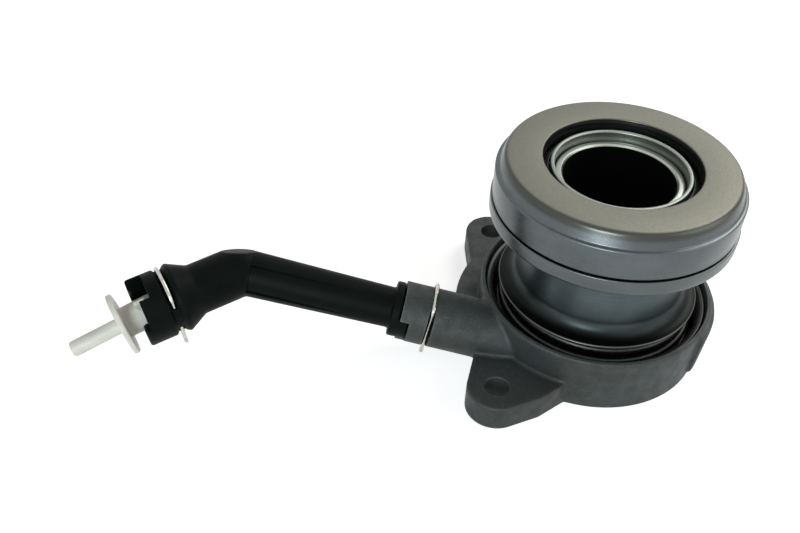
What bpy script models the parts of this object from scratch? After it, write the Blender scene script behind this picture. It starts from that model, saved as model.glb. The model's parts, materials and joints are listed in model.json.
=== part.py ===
"""Concentric clutch cylinder: a release bearing on an annular piston, in a cast housing with a pipe.

Metres, +Z up along the bore. The origin is on the bore's axis, at the face that bolts to the gearbox,
and the arm and its pipe leave towards -X. The bearing stands at the outer end of its travel.
"""
import math

import bmesh
import bpy
from mathutils import Matrix, Vector

MM = 0.001
GAP = 0.3 * MM             # between pieces that touch
RUN_GAP = 0.3 * MM         # between pieces that slide or turn on each other
ROUND = 0.5 * MM           # broken edge of turned steel pieces
BIG_STEPS = 40             # facets round a large ring
TUBE_STEPS = 32            # facets round the guide tube and the sleeve on it
INNER_STEPS = 28           # facets round a hidden ring
MID_STEPS = 20             # facets round the arm, pipe and connector
SMALL_STEPS = 12           # facets round a hole or a thin stem

# Guide tube, the fixed steel sleeve on the axis
TUBE_BORE = 15.67 * MM
TUBE_WALL = 1.25 * MM
TUBE_TOP = 58.2 * MM
TUBE_BEAD_STAND = 1.24 * MM   # how far the rolled end that stops the piston stands out
TUBE_BEAD_HEIGHT = 2.0 * MM
TUBE_BEAD_ROUND = 0.8 * MM
TUBE_MOUTH = 0.6 * MM      # flare of the tube's bore at its end
TUBE_MOUTH_DEPTH = 1.0 * MM
TUBE_FLANGE_WIDTH = 3.08 * MM
TUBE_FLANGE_THICK = 1.5 * MM
TUBE_SEAL_SECTION = 0.7 * MM   # section radius of the O-ring under the chamber

# Housing
RIM_TOP = 18.7 * MM
RIM_WALL = 1.5 * MM
RIM_EDGE = 0.6 * MM
RIM_DRAFT = 0.95 * MM      # how much narrower the wall is at its foot
RIM_FLANK = 0.8            # share of the rim's wall that the raised pad is rooted in
POCKET_WIDTH = 2.0 * MM    # from the shroud's lip to the ring-shaped pocket's wall
POCKET_ROOM = 3.1 * MM     # left under the shroud's lip for the flattened spring
SEAL_LEDGE = 13.7 * MM     # height of the ledge that carries the dust seal
LEDGE_WIDTH = 1.7 * MM
CYLINDER_WALL = 1.5 * MM
CHAMBER_WIDTH = 5.18 * MM  # between the guide tube and the cylinder
CYLINDER_ROOM = 1.2 * MM   # left between the cylinder's top and the bearing at the end of the stroke
CHAMBER_FLOOR = 5.2 * MM
CHAMBER_ROOM = 0.7 * MM    # left under the seal at the end of the stroke
PAD_STAND = 0.9 * MM       # raised casting pad on the wall
PAD_START = -36.0          # degrees
PAD_SPAN = 63.0
PAD_FOOT = 1.6 * MM

# Bolt lugs
BOLT_REACH = 12.65 * MM    # from the wall's foot to a bolt's axis
BOLT_HOLE = 3.5 * MM
BOLT_CHAMFER = 0.8 * MM
LUG_RADIUS = 8.7 * MM
LUG_TOP = 8.1 * MM
LUG_EDGE = 0.7 * MM
LUG_POINTS = 8             # facets round a lug's end
LUG_OVERLAP = 0.97         # share of the wall's radius where a lug's sides start
LUG_ANGLE = 130.0          # the two lugs beside the arm, to either side of +X
LUG_ROOT = 25.0            # degrees from such a lug to where its edge meets the wall
FAR_LUG_ANGLE = 50.0
FAR_LUG_ROOT = 27.0
HIP_REACH = 8.9 * MM       # corner in such a lug's side away from the arm
HIP_ANGLE = 16.0           # degrees from the lug
WEB_REACH = 8.15 * MM      # web beside the back lug, under the arm
WEB_START = 152.0          # degrees
WEB_END = 202.0
NOTCH_REACH = 5.6 * MM     # corner between the web and the near lug
NOTCH_ANGLE = 206.5

# Arm that the pipe plugs into
ARM_REACH = 10.95 * MM     # from the wall's foot to a point on the arm's axis
ARM_OFFSET = 13.8 * MM     # from the bore's axis to that point, towards -Y
ARM_HEIGHT = 11.7 * MM
ARM_TURN = 4.0             # degrees off square, towards +Y
ARM_RISE = 10.0
ARM_RADIUS = 8.95 * MM
ARM_END = 14.0 * MM        # along the axis from that point
ARM_ROOT = -26.0 * MM
ARM_BORE = 6.2 * MM
ARM_BORE_DEPTH = 22.0 * MM
ARM_EDGE = 0.5 * MM
KEY_DEPTH = 2.8 * MM       # key on the pipe's flange, in a notch of the arm's end
KEY_START = -54.0          # degrees round the arm, from its near side
KEY_SPAN = 72.0
KEY_PLAY = 2.5             # degrees to either side

# Plastic pipe, along the arm's axis and then along the leg's
NOSE_GROOVE_DEPTH = 1.0 * MM
NOSE_LENGTH = 20.5 * MM
NOSE_SEAL_AT = 16.0 * MM   # from the arm's end to its O-ring
NOSE_SEAL_SECTION = 0.62 * MM
PIPE_BORE = 2.6 * MM
PIPE_FLANGE = 8.3 * MM
PIPE_FLANGE_THICK = 2.6 * MM
PIPE_START = 6.15 * MM     # radius beside the flange
PIPE_LEFT = 7.0 * MM       # radius at the elbow
ELBOW_AT = 63.7 * MM
LEG_TURN = 31.9            # degrees from -X towards -Y
LEG_DROP = 7.3
LEG_RADIUS = 7.67 * MM
LEG_END = 14.0 * MM        # along the leg from the elbow
SHOULDER_RADIUS = 10.6 * MM
SHOULDER_LENGTH = 5.6 * MM
SOCKET_RADIUS = 10.24 * MM
SOCKET_END = 31.8 * MM
SOCKET_BORE = 6.6 * MM
SOCKET_DEPTH = 12.2 * MM
SOCKET_GROOVE_DEPTH = 1.0 * MM
SOCKET_EDGE = 0.8 * MM
SLOT_DEPTH = 4.6 * MM      # slot in the top of the socket's wall
SLOT_HALF = 5.2 * MM
RELIEF_DEPTH = 1.4 * MM    # the near wall's end stands back by this
RELIEF_FOOT = 1.1 * MM     # above the socket's axis
SOCKET_FLARE = 0.4 * MM      # slope of the groove's outer side
SHOULDER_FLARE = 0.6 * MM
ELBOW_POINTS = 7
BEND_BORE = 2.86 * MM        # radius of the bore at the elbow

# Wire clips
WIRE = 0.6 * MM            # wire radius
CLIP_SLOT_TOP = 0.8        # share of the radius that a slot for a clip's leg reaches up to
CLIP_POINTS = 6
ARM_CLIP_AT = 8.7 * MM     # from the arm's end
ARM_CLIP_HALF = 5.9 * MM
ARM_CLIP_TAIL = 9.2 * MM
LINE_CLIP_AT = 22.2 * MM   # along the leg from the elbow
LINE_CLIP_HALF = 7.6 * MM
LINE_CLIP_COVER = 0.3 * MM   # room beyond the leg, inside the wall that hides it
LINE_CLIP_TAIL = 10.6 * MM

# Plug in the open connector
PLUG_SAG = 6.3             # degrees that it hangs below the socket's axis
PLUG_PIVOT = 23.5 * MM     # along the leg
PLUG_SHANK = 4.57 * MM
PLUG_INSERT = 2.6 * MM     # how far the shank reaches in past its pivot
PLUG_BEAD_GAP = 0.4 * MM   # round the bead that holds the plug in the socket
PLUG_BEAD_HALF = 1.0 * MM
PLUG_EDGE = 0.4 * MM
PLUG_FLANGE = 9.43 * MM
PLUG_FLANGE_AT = 12.4 * MM
PLUG_FLANGE_THICK = 1.6 * MM
PLUG_STEM = 2.35 * MM
PLUG_TIP = 28.9 * MM
PLUG_RIB_HALF = 0.6 * MM   # rib that turns the plug's bead into the socket's slot
PLUG_RIB_ANGLE = 66.0      # degrees round the plug, from its near side
PLUG_RIB_REACH = 8.6 * MM
PLUG_RIB_START = 4.4 * MM
PLUG_RIB_END = 8.0 * MM

# Dust seal in the rim and preload spring under the shroud
DUST_SEAL_HEIGHT = 3.2 * MM
DUST_SEAL_REACH = 0.7 * MM # how far its lip stands into the pocket
DUST_SEAL_BEAD = 0.4 * MM  # half the height of its lip
DUST_SEAL_TOP = 1.3 * MM   # breadth of its top side
SPRING_WIRE = 1.1 * MM
SPRING_ROOM = 0.5 * MM     # between the lowest turn and the pocket's wall
SPRING_TUCK = 1.1 * MM     # from the shroud's lip in to the highest turn
SPRING_TURNS = 3.5
SPRING_POINTS = 14         # for each turn
SPRING_CLOSED = 0.5        # closed turn at each end

# Piston and its seal
STROKE = 12.5 * MM         # from the outer end, where it stands here, down to the inner end
SEAL_HEIGHT = 4.2 * MM
SEAL_LIP = 1.1 * MM
SEAL_CUP = 1.8 * MM        # depth of the hollow between the seal's lips
SUPPORT_THICK = 1.2 * MM

# Bearing, from below
PLATE_FOOT = 44.7 * MM     # height of the pressed plate under the bearing
PLATE_THICK = 1.0 * MM
PLATE_CORNER = 1.0 * MM
BAND_STAND = 0.45 * MM     # how far the plate's rim stands out past the rotating ring
BAND_WALL = 1.1 * MM
BAND_HEIGHT = 4.8 * MM
BAND_EDGE = 0.3 * MM
BEAD_GAP = 0.24 * MM       # between the sleeve and the guide tube's rolled end
SLEEVE_WALL = 1.23 * MM
SLEEVE_HEIGHT = 15.1 * MM
SLEEVE_EDGE = 0.4 * MM
SLEEVE_FLANGE_WIDTH = 10.37 * MM
SLEEVE_FLANGE_THICK = 1.0 * MM
WAVE_THICK = 0.5 * MM      # wave washer between the sleeve's flange and the inner ring
WAVE_ROOM = 1.8 * MM
WAVE_COUNT = 3
WAVE_STEPS = 30
RACE_HEIGHT = 7.8 * MM     # inner ring
RACE_FLANGE_WIDTH = 3.4 * MM   # outwards from the ball circle
RACE_FLANGE_THICK = 1.8 * MM
RACE_LAND = 0.8 * MM
BALL_COUNT = 14
BALL_RADIUS = 3.0 * MM
BALL_REACH = 8.57 * MM     # from the sleeve out to the circle of ball centres
BALL_LIFT = 5.6 * MM       # ball centres above the inner ring's underside
BALL_PLAY = 0.15 * MM
BALL_SEGMENTS = 8
BALL_RINGS = 6
CAGE_HALF_LENGTH = 4.2 * MM
CAGE_HALF_THICK = 0.6 * MM
CAGE_SLOPE = 45.0
CAGE_HOLE_STEPS = 12
GROOVE_POINTS = 5          # facets across a raceway
GROOVE_WRAP = 15.0         # degrees that a raceway goes on past the ball's level
RING_REACH = 6.55 * MM     # from the ball circle to the outside of the rotating ring
RING_GAP = 0.4 * MM        # between the ring and the band under it
RING_WALL = 2.65 * MM
RING_EDGE = 0.4 * MM
FACE_LIFT = 8.3 * MM       # pressure face above the ball centres
SHOULDER_REACH = 3.75 * MM # from the ring's outside in to its flat face
SHOULDER_END = 12.0        # degrees, where the round shoulder stops above level
FACE_RING_GAP = 2.33 * MM  # from the sleeve out to the face's inner edge
FACE_ROOF = 0.95 * MM      # height of the ring's hollow over its raceway
FACE_ROUND = 2.6 * MM
SHOULDER_POINTS = 4
STEP_DEPTH = 4.6 * MM      # from the face down to the step round the ring
STEP_STAND = 0.9 * MM
STEP_FALL = 0.5 * MM
FACE_SEAL_GAP = 0.4 * MM   # above the inner ring
FACE_SEAL_HEIGHT = 2.4 * MM
FACE_SEAL_EDGE = 0.6 * MM

# Shroud round the cylinder
SHROUD_WALL = 0.8 * MM
SHROUD_BRIM = 0.9 * MM     # from the flare out to the edge of its lip
SHROUD_FOOT = 20.6 * MM    # height of the lip's upper side
SHROUD_FLARE = 4.2 * MM
SHROUD_FLANGE_WIDTH = 7.9 * MM
SHROUD_TOP_CURVE = 1.6 * MM
SHROUD_BEAD = 0.48 * MM    # radius of the lip's rolled edge
SHROUD_POINTS = 4

# What follows from the sizes above
TUBE_OUTER = TUBE_BORE + TUBE_WALL
TUBE_BEAD = TUBE_OUTER + TUBE_BEAD_STAND
TUBE_FLANGE = TUBE_OUTER + TUBE_FLANGE_WIDTH
CYLINDER_BORE = TUBE_OUTER + CHAMBER_WIDTH
CYLINDER_OUTER = CYLINDER_BORE + CYLINDER_WALL
CYLINDER_TOP = PLATE_FOOT - STROKE - CYLINDER_ROOM
POCKET_FLOOR = SHROUD_FOOT - SHROUD_WALL - STROKE - POCKET_ROOM
SHROUD_NECK = CYLINDER_OUTER + RUN_GAP + SHROUD_WALL
SHROUD_LIP = SHROUD_NECK + SHROUD_FLARE + SHROUD_BRIM
SHROUD_FLANGE = SHROUD_NECK + SHROUD_FLANGE_WIDTH
POCKET_RADIUS = SHROUD_LIP + POCKET_WIDTH
SPRING_LOW = POCKET_RADIUS - SPRING_ROOM - SPRING_WIRE
SPRING_HIGH = SHROUD_LIP - SPRING_TUCK - SPRING_WIRE
DUST_SEAL_LIP = POCKET_RADIUS - DUST_SEAL_REACH
RIM_RADIUS = POCKET_RADIUS + LEDGE_WIDTH + RIM_WALL
BASE_RADIUS = RIM_RADIUS - RIM_DRAFT
BOLT_CIRCLE = BASE_RADIUS + BOLT_REACH
WEB_RADIUS = BASE_RADIUS + WEB_REACH
ARM_POINT = Vector((-BASE_RADIUS - ARM_REACH, -ARM_OFFSET, ARM_HEIGHT))
SEAL_FOOT = CHAMBER_FLOOR + CHAMBER_ROOM + STROKE
SEAL_TOP = SEAL_FOOT + SEAL_HEIGHT
PISTON_FOOT = SEAL_TOP + GAP + SUPPORT_THICK + GAP
PLATE_TOP = PLATE_FOOT + PLATE_THICK
BAND_TOP = PLATE_FOOT + BAND_HEIGHT
SLEEVE_BORE = TUBE_BEAD + BEAD_GAP
SLEEVE_RADIUS = SLEEVE_BORE + SLEEVE_WALL
SLEEVE_FLANGE = SLEEVE_RADIUS + SLEEVE_FLANGE_WIDTH
SLEEVE_FOOT = PLATE_TOP + GAP
SLEEVE_TOP = SLEEVE_FOOT + SLEEVE_HEIGHT
WAVE_FOOT = SLEEVE_FOOT + SLEEVE_FLANGE_THICK + GAP
RACE_FOOT = WAVE_FOOT + WAVE_ROOM + GAP
RACE_TOP = RACE_FOOT + RACE_HEIGHT
BALL_PITCH = SLEEVE_RADIUS + BALL_REACH
BALL_HEIGHT = RACE_FOOT + BALL_LIFT
RACE_FLANGE = BALL_PITCH + RACE_FLANGE_WIDTH
RING_RADIUS = BALL_PITCH + RING_REACH
BAND_RADIUS = RING_RADIUS + BAND_STAND
RING_FOOT = BAND_TOP + RING_GAP
FACE_HEIGHT = BALL_HEIGHT + FACE_LIFT
FACE_INNER = SLEEVE_RADIUS + FACE_RING_GAP
FACE_OUTER = RING_RADIUS - SHOULDER_REACH
FACE_SEAL_FOOT = RACE_TOP + FACE_SEAL_GAP
TUBE_SEAT_TOP = GAP + TUBE_FLANGE_THICK + GAP

COLOURS = {
    "cast_aluminium": ((0.135, 0.145, 0.150), 0.55, 0.9),
    "bearing_steel": ((0.42, 0.43, 0.43), 0.30, 1.0),
    "tube_steel": ((0.45, 0.45, 0.44), 0.28, 1.0),
    "shroud_steel": ((0.12, 0.135, 0.145), 0.35, 0.9),
    "wire_steel": ((0.62, 0.62, 0.60), 0.22, 1.0),
    "spring_steel": ((0.05, 0.05, 0.05), 0.45, 0.8),
    "ball_steel": ((0.70, 0.70, 0.70), 0.10, 1.0),
    "pipe_plastic": ((0.018, 0.020, 0.020), 0.50, 0.0),
    "piston_plastic": ((0.10, 0.085, 0.06), 0.45, 0.0),
    "cage_plastic": ((0.09, 0.07, 0.03), 0.45, 0.0),
    "seal_rubber": ((0.012, 0.012, 0.012), 0.60, 0.0),
    "plug_plastic": ((0.80, 0.80, 0.76), 0.40, 0.0),
}


def clear_scene():
    for obj in list(bpy.data.objects):
        bpy.data.objects.remove(obj, do_unlink=True)


def collection(name):
    made = bpy.data.collections.new(name)
    bpy.context.scene.collection.children.link(made)
    return made


def material(name):
    if name in bpy.data.materials:
        return bpy.data.materials[name]
    colour, roughness, metallic = COLOURS[name]
    made = bpy.data.materials.new(name)
    made.use_nodes = True
    shader = made.node_tree.nodes["Principled BSDF"]
    shader.inputs["Base Color"].default_value = (*colour, 1.0)
    shader.inputs["Roughness"].default_value = roughness
    shader.inputs["Metallic"].default_value = metallic
    return made


def axis_frame(origin, turn, rise, side=1.0):
    """Frame with Z along a direction given in degrees from -X, X towards the near side and Y up."""
    plan = math.radians(turn)
    tilt = math.radians(rise)
    along = Vector((-math.cos(tilt) * math.cos(plan), side * math.cos(tilt) * math.sin(plan), math.sin(tilt)))
    near = Vector((-along.y, along.x, 0.0)).normalized()
    up = along.cross(near)
    turned_frame = Matrix((near, up, along)).transposed().to_4x4()
    return Matrix.Translation(origin) @ turned_frame


def arc(centre, radius, start, end, count):
    """Points on an arc in the profile plane, angles in degrees, radius outwards and height up."""
    points = []
    for i in range(count + 1):
        angle = math.radians(start + (end - start) * i / count)
        points.append((centre[0] + radius * math.cos(angle), centre[1] + radius * math.sin(angle)))
    return points


def add_object(name, mesh, place, target):
    obj = bpy.data.objects.new(name, mesh)
    obj.matrix_world = place
    target.objects.link(obj)
    return obj


def hide_cutter(obj):
    obj.hide_render = True
    obj.display_type = "WIRE"
    return obj


def turned(name, profile, target, place=Matrix.Identity(4), steps=BIG_STEPS, closed=True, span=360.0):
    """Turns a profile of (radius, height) points round Z. It runs down its outer side."""
    mesh = bpy.data.meshes.new(name)
    points = [(r, 0.0, z) for r, z in profile]
    edges = [(i, i + 1) for i in range(len(points) - 1)]
    if closed:
        edges.append((len(points) - 1, 0))
    mesh.from_pydata(points, edges, [])
    obj = add_object(name, mesh, place, target)
    screw = obj.modifiers.new("turn", "SCREW")
    screw.angle = math.radians(span)
    screw.steps = steps
    screw.render_steps = steps
    screw.use_merge_vertices = True
    screw.merge_threshold = 0.000001
    screw.use_smooth_shade = True
    return obj


def baked(obj, weld=0.000001):
    """Replaces an object by the plain mesh of what it evaluates to, as one closed body."""
    depsgraph = bpy.context.evaluated_depsgraph_get()
    mesh = bpy.data.meshes.new_from_object(obj.evaluated_get(depsgraph))
    place = obj.matrix_world.copy()
    name = obj.name
    target = obj.users_collection[0]
    bpy.data.objects.remove(obj, do_unlink=True)
    work = bmesh.new()
    work.from_mesh(mesh)
    bmesh.ops.remove_doubles(work, verts=work.verts, dist=weld)
    work.to_mesh(mesh)
    work.free()
    return add_object(name, mesh, place, target)


def boolean(obj, other, operation):
    step = obj.modifiers.new(operation.lower(), "BOOLEAN")
    step.operation = operation
    step.object = other
    step.solver = "EXACT"
    return obj


def cut(obj, *cutters):
    for other in cutters:
        boolean(obj, other, "DIFFERENCE")
    return obj


def join(obj, *others):
    for other in others:
        boolean(obj, other, "UNION")
    return obj


def finish(obj, colour, edge_angle=32.0):
    """Gives a piece its material and smooth shading with sharp edges, as one plain mesh."""
    obj = baked(obj)
    obj.data.materials.clear()
    obj.data.materials.append(material(colour))
    obj.data.shade_smooth()
    obj.data.set_sharp_from_angle(angle=math.radians(edge_angle))
    return obj


def solid_of_revolution(profile):
    """Closes an outer profile on the axis, at its top and at its foot."""
    return [(0.0, profile[0][1])] + profile + [(0.0, profile[-1][1])]


def rod(name, radius, low, high, target, place, steps=SMALL_STEPS):
    profile = solid_of_revolution([(radius, high), (radius, low)])
    return turned(name, profile, target, place, steps, closed=False)


def plate(name, outline, low, high, target):
    """A flat outline from one height to another, made as a filled 2D curve."""
    curve = bpy.data.curves.new(name, "CURVE")
    curve.dimensions = "2D"
    curve.fill_mode = "BOTH"
    curve.extrude = (high - low) / 2.0
    spline = curve.splines.new("POLY")
    spline.points.add(len(outline) - 1)
    for point, (x, y) in zip(spline.points, outline):
        point.co = (x, y, 0.0, 1.0)
    spline.use_cyclic_u = True
    obj = add_object(name, curve, Matrix.Translation((0.0, 0.0, (low + high) / 2.0)), target)
    return baked(obj)


def wire(name, points, radius, target, place=Matrix.Identity(4)):
    curve = bpy.data.curves.new(name, "CURVE")
    curve.dimensions = "3D"
    curve.bevel_depth = radius
    curve.bevel_resolution = 2
    curve.use_fill_caps = True
    spline = curve.splines.new("POLY")
    spline.points.add(len(points) - 1)
    for point, co in zip(spline.points, points):
        point.co = (*co, 1.0)
    return add_object(name, curve, place, target)


def ring_of(name, radius, height, section, target, steps=INNER_STEPS, place=Matrix.Identity(4), sides=6):
    """A round-section ring, such as an O-ring."""
    profile = arc((radius, height), section, 90.0, -270.0, sides)[:-1]
    return turned(name, profile, target, place, steps)


def polar(radius, degrees):
    angle = math.radians(degrees)
    return Vector((radius * math.cos(angle), radius * math.sin(angle)))


def tangent_angle(point, centre, radius, side):
    """Angle, seen from the circle's centre, of the tangent from a point outside it."""
    reach = point - centre
    swing = math.acos(min(1.0, radius / reach.length))
    return math.degrees(math.atan2(reach.y, reach.x) + side * swing)


def lug_arc(angle, before, after):
    """The round end of a lug, between the tangents from the points before and after it."""
    centre = polar(BOLT_CIRCLE, angle)
    start = tangent_angle(before, centre, LUG_RADIUS, 1.0)
    end = tangent_angle(after, centre, LUG_RADIUS, -1.0)
    while end < start:
        end += 360.0
    return [centre + polar(LUG_RADIUS, start + (end - start) * i / LUG_POINTS) for i in range(LUG_POINTS + 1)]


def web_outline():
    """Both lugs beside the arm and the web between them, anticlockwise."""
    root = LUG_OVERLAP * BASE_RADIUS
    hip = BASE_RADIUS + HIP_REACH
    upper = [polar(root, LUG_ANGLE - LUG_ROOT), polar(hip, LUG_ANGLE - HIP_ANGLE)]
    lower = [polar(hip, HIP_ANGLE - LUG_ANGLE), polar(root, LUG_ROOT - LUG_ANGLE)]
    turn = (WEB_END - WEB_START) / LUG_POINTS
    web = [polar(WEB_RADIUS, WEB_START + turn * i) for i in range(LUG_POINTS + 1)]
    notch = polar(BASE_RADIUS + NOTCH_REACH, NOTCH_ANGLE)
    outline = upper + lug_arc(LUG_ANGLE, upper[-1], web[0]) + web + [notch]
    return outline + lug_arc(-LUG_ANGLE, notch, lower[0]) + lower


def far_lug_outline():
    root = LUG_OVERLAP * BASE_RADIUS
    before = polar(root, FAR_LUG_ANGLE - FAR_LUG_ROOT)
    after = polar(root, FAR_LUG_ANGLE + FAR_LUG_ROOT)
    return [before] + lug_arc(FAR_LUG_ANGLE, before, after) + [after]


def make_housing(parts, cutters, arm):
    wall = [(RIM_RADIUS - RIM_EDGE, RIM_TOP), (RIM_RADIUS, RIM_TOP - RIM_EDGE), (BASE_RADIUS, 0.0)]
    housing = turned("housing", solid_of_revolution(wall), parts, closed=False)
    upright = Matrix.Identity(4)
    core = rod("core", CYLINDER_OUTER, POCKET_FLOOR - ROUND, CYLINDER_TOP, cutters, upright, BIG_STEPS)
    pad_root = RIM_RADIUS - RIM_FLANK * RIM_WALL
    pad = turned("pad", [(RIM_RADIUS + PAD_STAND, RIM_TOP - RIM_EDGE - PAD_STAND),
                         (BASE_RADIUS + PAD_STAND, PAD_FOOT + PAD_STAND), (pad_root, PAD_FOOT),
                         (pad_root, RIM_TOP - RIM_EDGE)],
                 cutters, Matrix.Rotation(math.radians(PAD_START), 4, "Z"),
                 round(PAD_SPAN * BIG_STEPS / 360.0), span=PAD_SPAN)
    pad.modifiers["turn"].use_merge_vertices = False
    pad = capped(pad)
    web = plate("web", web_outline(), 0.0, LUG_TOP, cutters)
    far_lug = plate("far_lug", far_lug_outline(), 0.0, LUG_TOP, cutters)
    for flat in (web, far_lug):
        break_top(flat, LUG_TOP, LUG_EDGE)
    stub = turned("stub", solid_of_revolution([
        (ARM_RADIUS - ARM_EDGE, ARM_END), (ARM_RADIUS, ARM_END - ARM_EDGE), (ARM_RADIUS, ARM_ROOT)]),
        cutters, arm, MID_STEPS, closed=False)
    rim_bore = RIM_RADIUS - RIM_WALL
    pocket = turned("pocket", solid_of_revolution([
        (rim_bore, RIM_TOP + GAP), (rim_bore, SEAL_LEDGE), (POCKET_RADIUS, SEAL_LEDGE),
        (POCKET_RADIUS, POCKET_FLOOR + ROUND), (POCKET_RADIUS - ROUND, POCKET_FLOOR)]), cutters, closed=False)
    tube_hole = TUBE_OUTER + GAP
    seal_seat = tube_hole + 2.0 * TUBE_SEAL_SECTION + GAP
    seal_top = TUBE_SEAT_TOP + 2.0 * (TUBE_SEAL_SECTION + GAP)
    flange_seat = TUBE_FLANGE + GAP
    chamber = turned("chamber", solid_of_revolution([
        (CYLINDER_BORE + ROUND, CYLINDER_TOP + GAP), (CYLINDER_BORE, CYLINDER_TOP - ROUND),
        (CYLINDER_BORE, CHAMBER_FLOOR), (tube_hole, CHAMBER_FLOOR),
        (tube_hole, seal_top), (seal_seat, seal_top), (seal_seat, TUBE_SEAT_TOP),
        (flange_seat, TUBE_SEAT_TOP), (flange_seat, -GAP)]), cutters, closed=False)
    arm_bore = rod("arm_bore", ARM_BORE, ARM_END - ARM_BORE_DEPTH, ARM_END + GAP, cutters, arm, MID_STEPS)
    reach = 2.0 * RIM_RADIUS
    below = box("below", (-reach, -reach, -reach), (reach, reach, GAP), cutters)
    cut(stub, below)
    housing = baked(join(housing, web, far_lug, pad, stub))
    housing = baked(cut(housing, pocket))
    housing = baked(join(housing, core))
    housing = baked(cut(housing, chamber, arm_bore))
    for angle in (LUG_ANGLE, -LUG_ANGLE, FAR_LUG_ANGLE):
        at = polar(BOLT_CIRCLE, angle)
        wide = BOLT_HOLE + BOLT_CHAMFER
        hole = turned("bolt_hole", solid_of_revolution([
            (wide + GAP, LUG_TOP + GAP), (BOLT_HOLE, LUG_TOP - BOLT_CHAMFER), (BOLT_HOLE, -GAP)]),
            cutters, Matrix.Translation((at.x, at.y, 0.0)), SMALL_STEPS, closed=False)
        cut(housing, hole)
    housing = baked(housing)
    clip_at = ARM_END - ARM_CLIP_AT
    for side in (-1.0, 1.0):
        cut(housing, clip_slot("arm_slot", side, clip_at, ARM_CLIP_HALF, reach, ARM_RADIUS, arm, cutters))
    housing = baked(housing)
    cut(housing, key_wedge("key_notch", ARM_RADIUS + GAP, ARM_BORE - GAP, GAP, KEY_PLAY, arm, cutters))
    return finish(housing, "cast_aluminium")


def key_wedge(name, outer, inner, reach, play, arm, target):
    """The pipe's key, or the notch for it, as a part of a ring in the arm's end."""
    foot = ARM_END - KEY_DEPTH
    profile = [(outer, ARM_END + reach), (outer, foot), (inner, foot), (inner, ARM_END + reach)]
    turn = Matrix.Rotation(math.radians(KEY_START - play), 4, "Z")
    steps = round(KEY_SPAN * MID_STEPS / 360.0)
    wedge = turned(name, profile, target, arm @ turn, steps, span=KEY_SPAN + 2.0 * play)
    wedge.modifiers["turn"].use_merge_vertices = False
    return capped(wedge)


def capped(obj):
    """Closes the open ends of a shape that is turned through part of a circle."""
    obj = baked(obj)
    work = bmesh.new()
    work.from_mesh(obj.data)
    bmesh.ops.holes_fill(work, edges=work.edges, sides=0)
    bmesh.ops.recalc_face_normals(work, faces=work.faces)
    work.to_mesh(obj.data)
    work.free()
    return obj


def break_top(obj, height, size):
    """Bevels the upper outline of a plate."""
    middle = height - obj.matrix_world.translation.z
    work = bmesh.new()
    work.from_mesh(obj.data)
    bmesh.ops.dissolve_limit(work, angle_limit=0.001, verts=work.verts, edges=work.edges)
    rim = [e for e in work.edges if all(abs(v.co.z - middle) < 0.1 * size for v in e.verts)]
    rim = [e for e in rim if any(abs(f.normal.z) < 0.5 for f in e.link_faces)]
    bmesh.ops.bevel(work, geom=rim, offset=size, segments=1, profile=0.5, affect="EDGES")
    work.to_mesh(obj.data)
    work.free()


def box(name, low, high, target, place=Matrix.Identity(4)):
    mesh = bpy.data.meshes.new(name)
    work = bmesh.new()
    size = [b - a for a, b in zip(low, high)]
    middle = [(a + b) / 2.0 for a, b in zip(low, high)]
    shape = Matrix.Translation(middle) @ Matrix.Diagonal((*size, 1.0))
    bmesh.ops.create_cube(work, size=1.0, matrix=shape)
    work.to_mesh(mesh)
    work.free()
    return add_object(name, mesh, place, target)


def clip_slot(name, side, at, half, far, radius, place, target):
    """The slot in one side wall that a leg of a wire clip lies in, from the leg out to a distance."""
    near = half - WIRE - GAP
    low = (min(side * near, side * far), -2.0 * radius, at - WIRE - GAP)
    high = (max(side * near, side * far), CLIP_SLOT_TOP * radius, at + WIRE + GAP)
    return box(name, low, high, target, place)


def clip_route(half, tail, radius, at):
    """A U of wire: two straight legs, and a bow that lies on the round top."""
    bow = radius + GAP + WIRE
    start = math.degrees(math.acos(half / bow))
    bend = arc((0.0, 0.0), bow, start, 180.0 - start, CLIP_POINTS)
    return [(half, -tail, at)] + [(x, y, at) for x, y in bend] + [(-half, -tail, at)]


def make_guide_tube(parts):
    bead_foot = TUBE_TOP - TUBE_BEAD_HEIGHT
    flange_top = GAP + TUBE_FLANGE_THICK
    corner = (TUBE_BEAD - TUBE_BEAD_ROUND, TUBE_TOP - TUBE_BEAD_ROUND)
    profile = arc(corner, TUBE_BEAD_ROUND, 90.0, 0.0, 3)
    profile += [(TUBE_BEAD, bead_foot), (TUBE_OUTER, bead_foot), (TUBE_OUTER, flange_top),
                (TUBE_FLANGE, flange_top), (TUBE_FLANGE, GAP), (TUBE_BORE, GAP),
                (TUBE_BORE, TUBE_TOP - TUBE_MOUTH_DEPTH), (TUBE_BORE + TUBE_MOUTH, TUBE_TOP)]
    return finish(turned("guide_tube", profile, parts, steps=TUBE_STEPS), "tube_steel")


def make_tube_seal(parts):
    height = TUBE_SEAT_TOP + GAP + TUBE_SEAL_SECTION
    ring = ring_of("tube_seal", TUBE_OUTER + GAP + TUBE_SEAL_SECTION, height, TUBE_SEAL_SECTION, parts)
    return finish(ring, "seal_rubber")


def make_dust_seal(parts):
    outer = RIM_RADIUS - RIM_WALL - GAP
    foot = SEAL_LEDGE + GAP
    top = foot + DUST_SEAL_HEIGHT
    middle = foot + 0.5 * DUST_SEAL_HEIGHT
    profile = [(outer - ROUND, top), (outer, top - ROUND), (outer, foot), (POCKET_RADIUS, foot),
               (DUST_SEAL_LIP, middle - DUST_SEAL_BEAD), (DUST_SEAL_LIP, middle + DUST_SEAL_BEAD),
               (outer - DUST_SEAL_TOP, top - ROUND)]
    return finish(turned("dust_seal", profile, parts), "seal_rubber")


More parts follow.
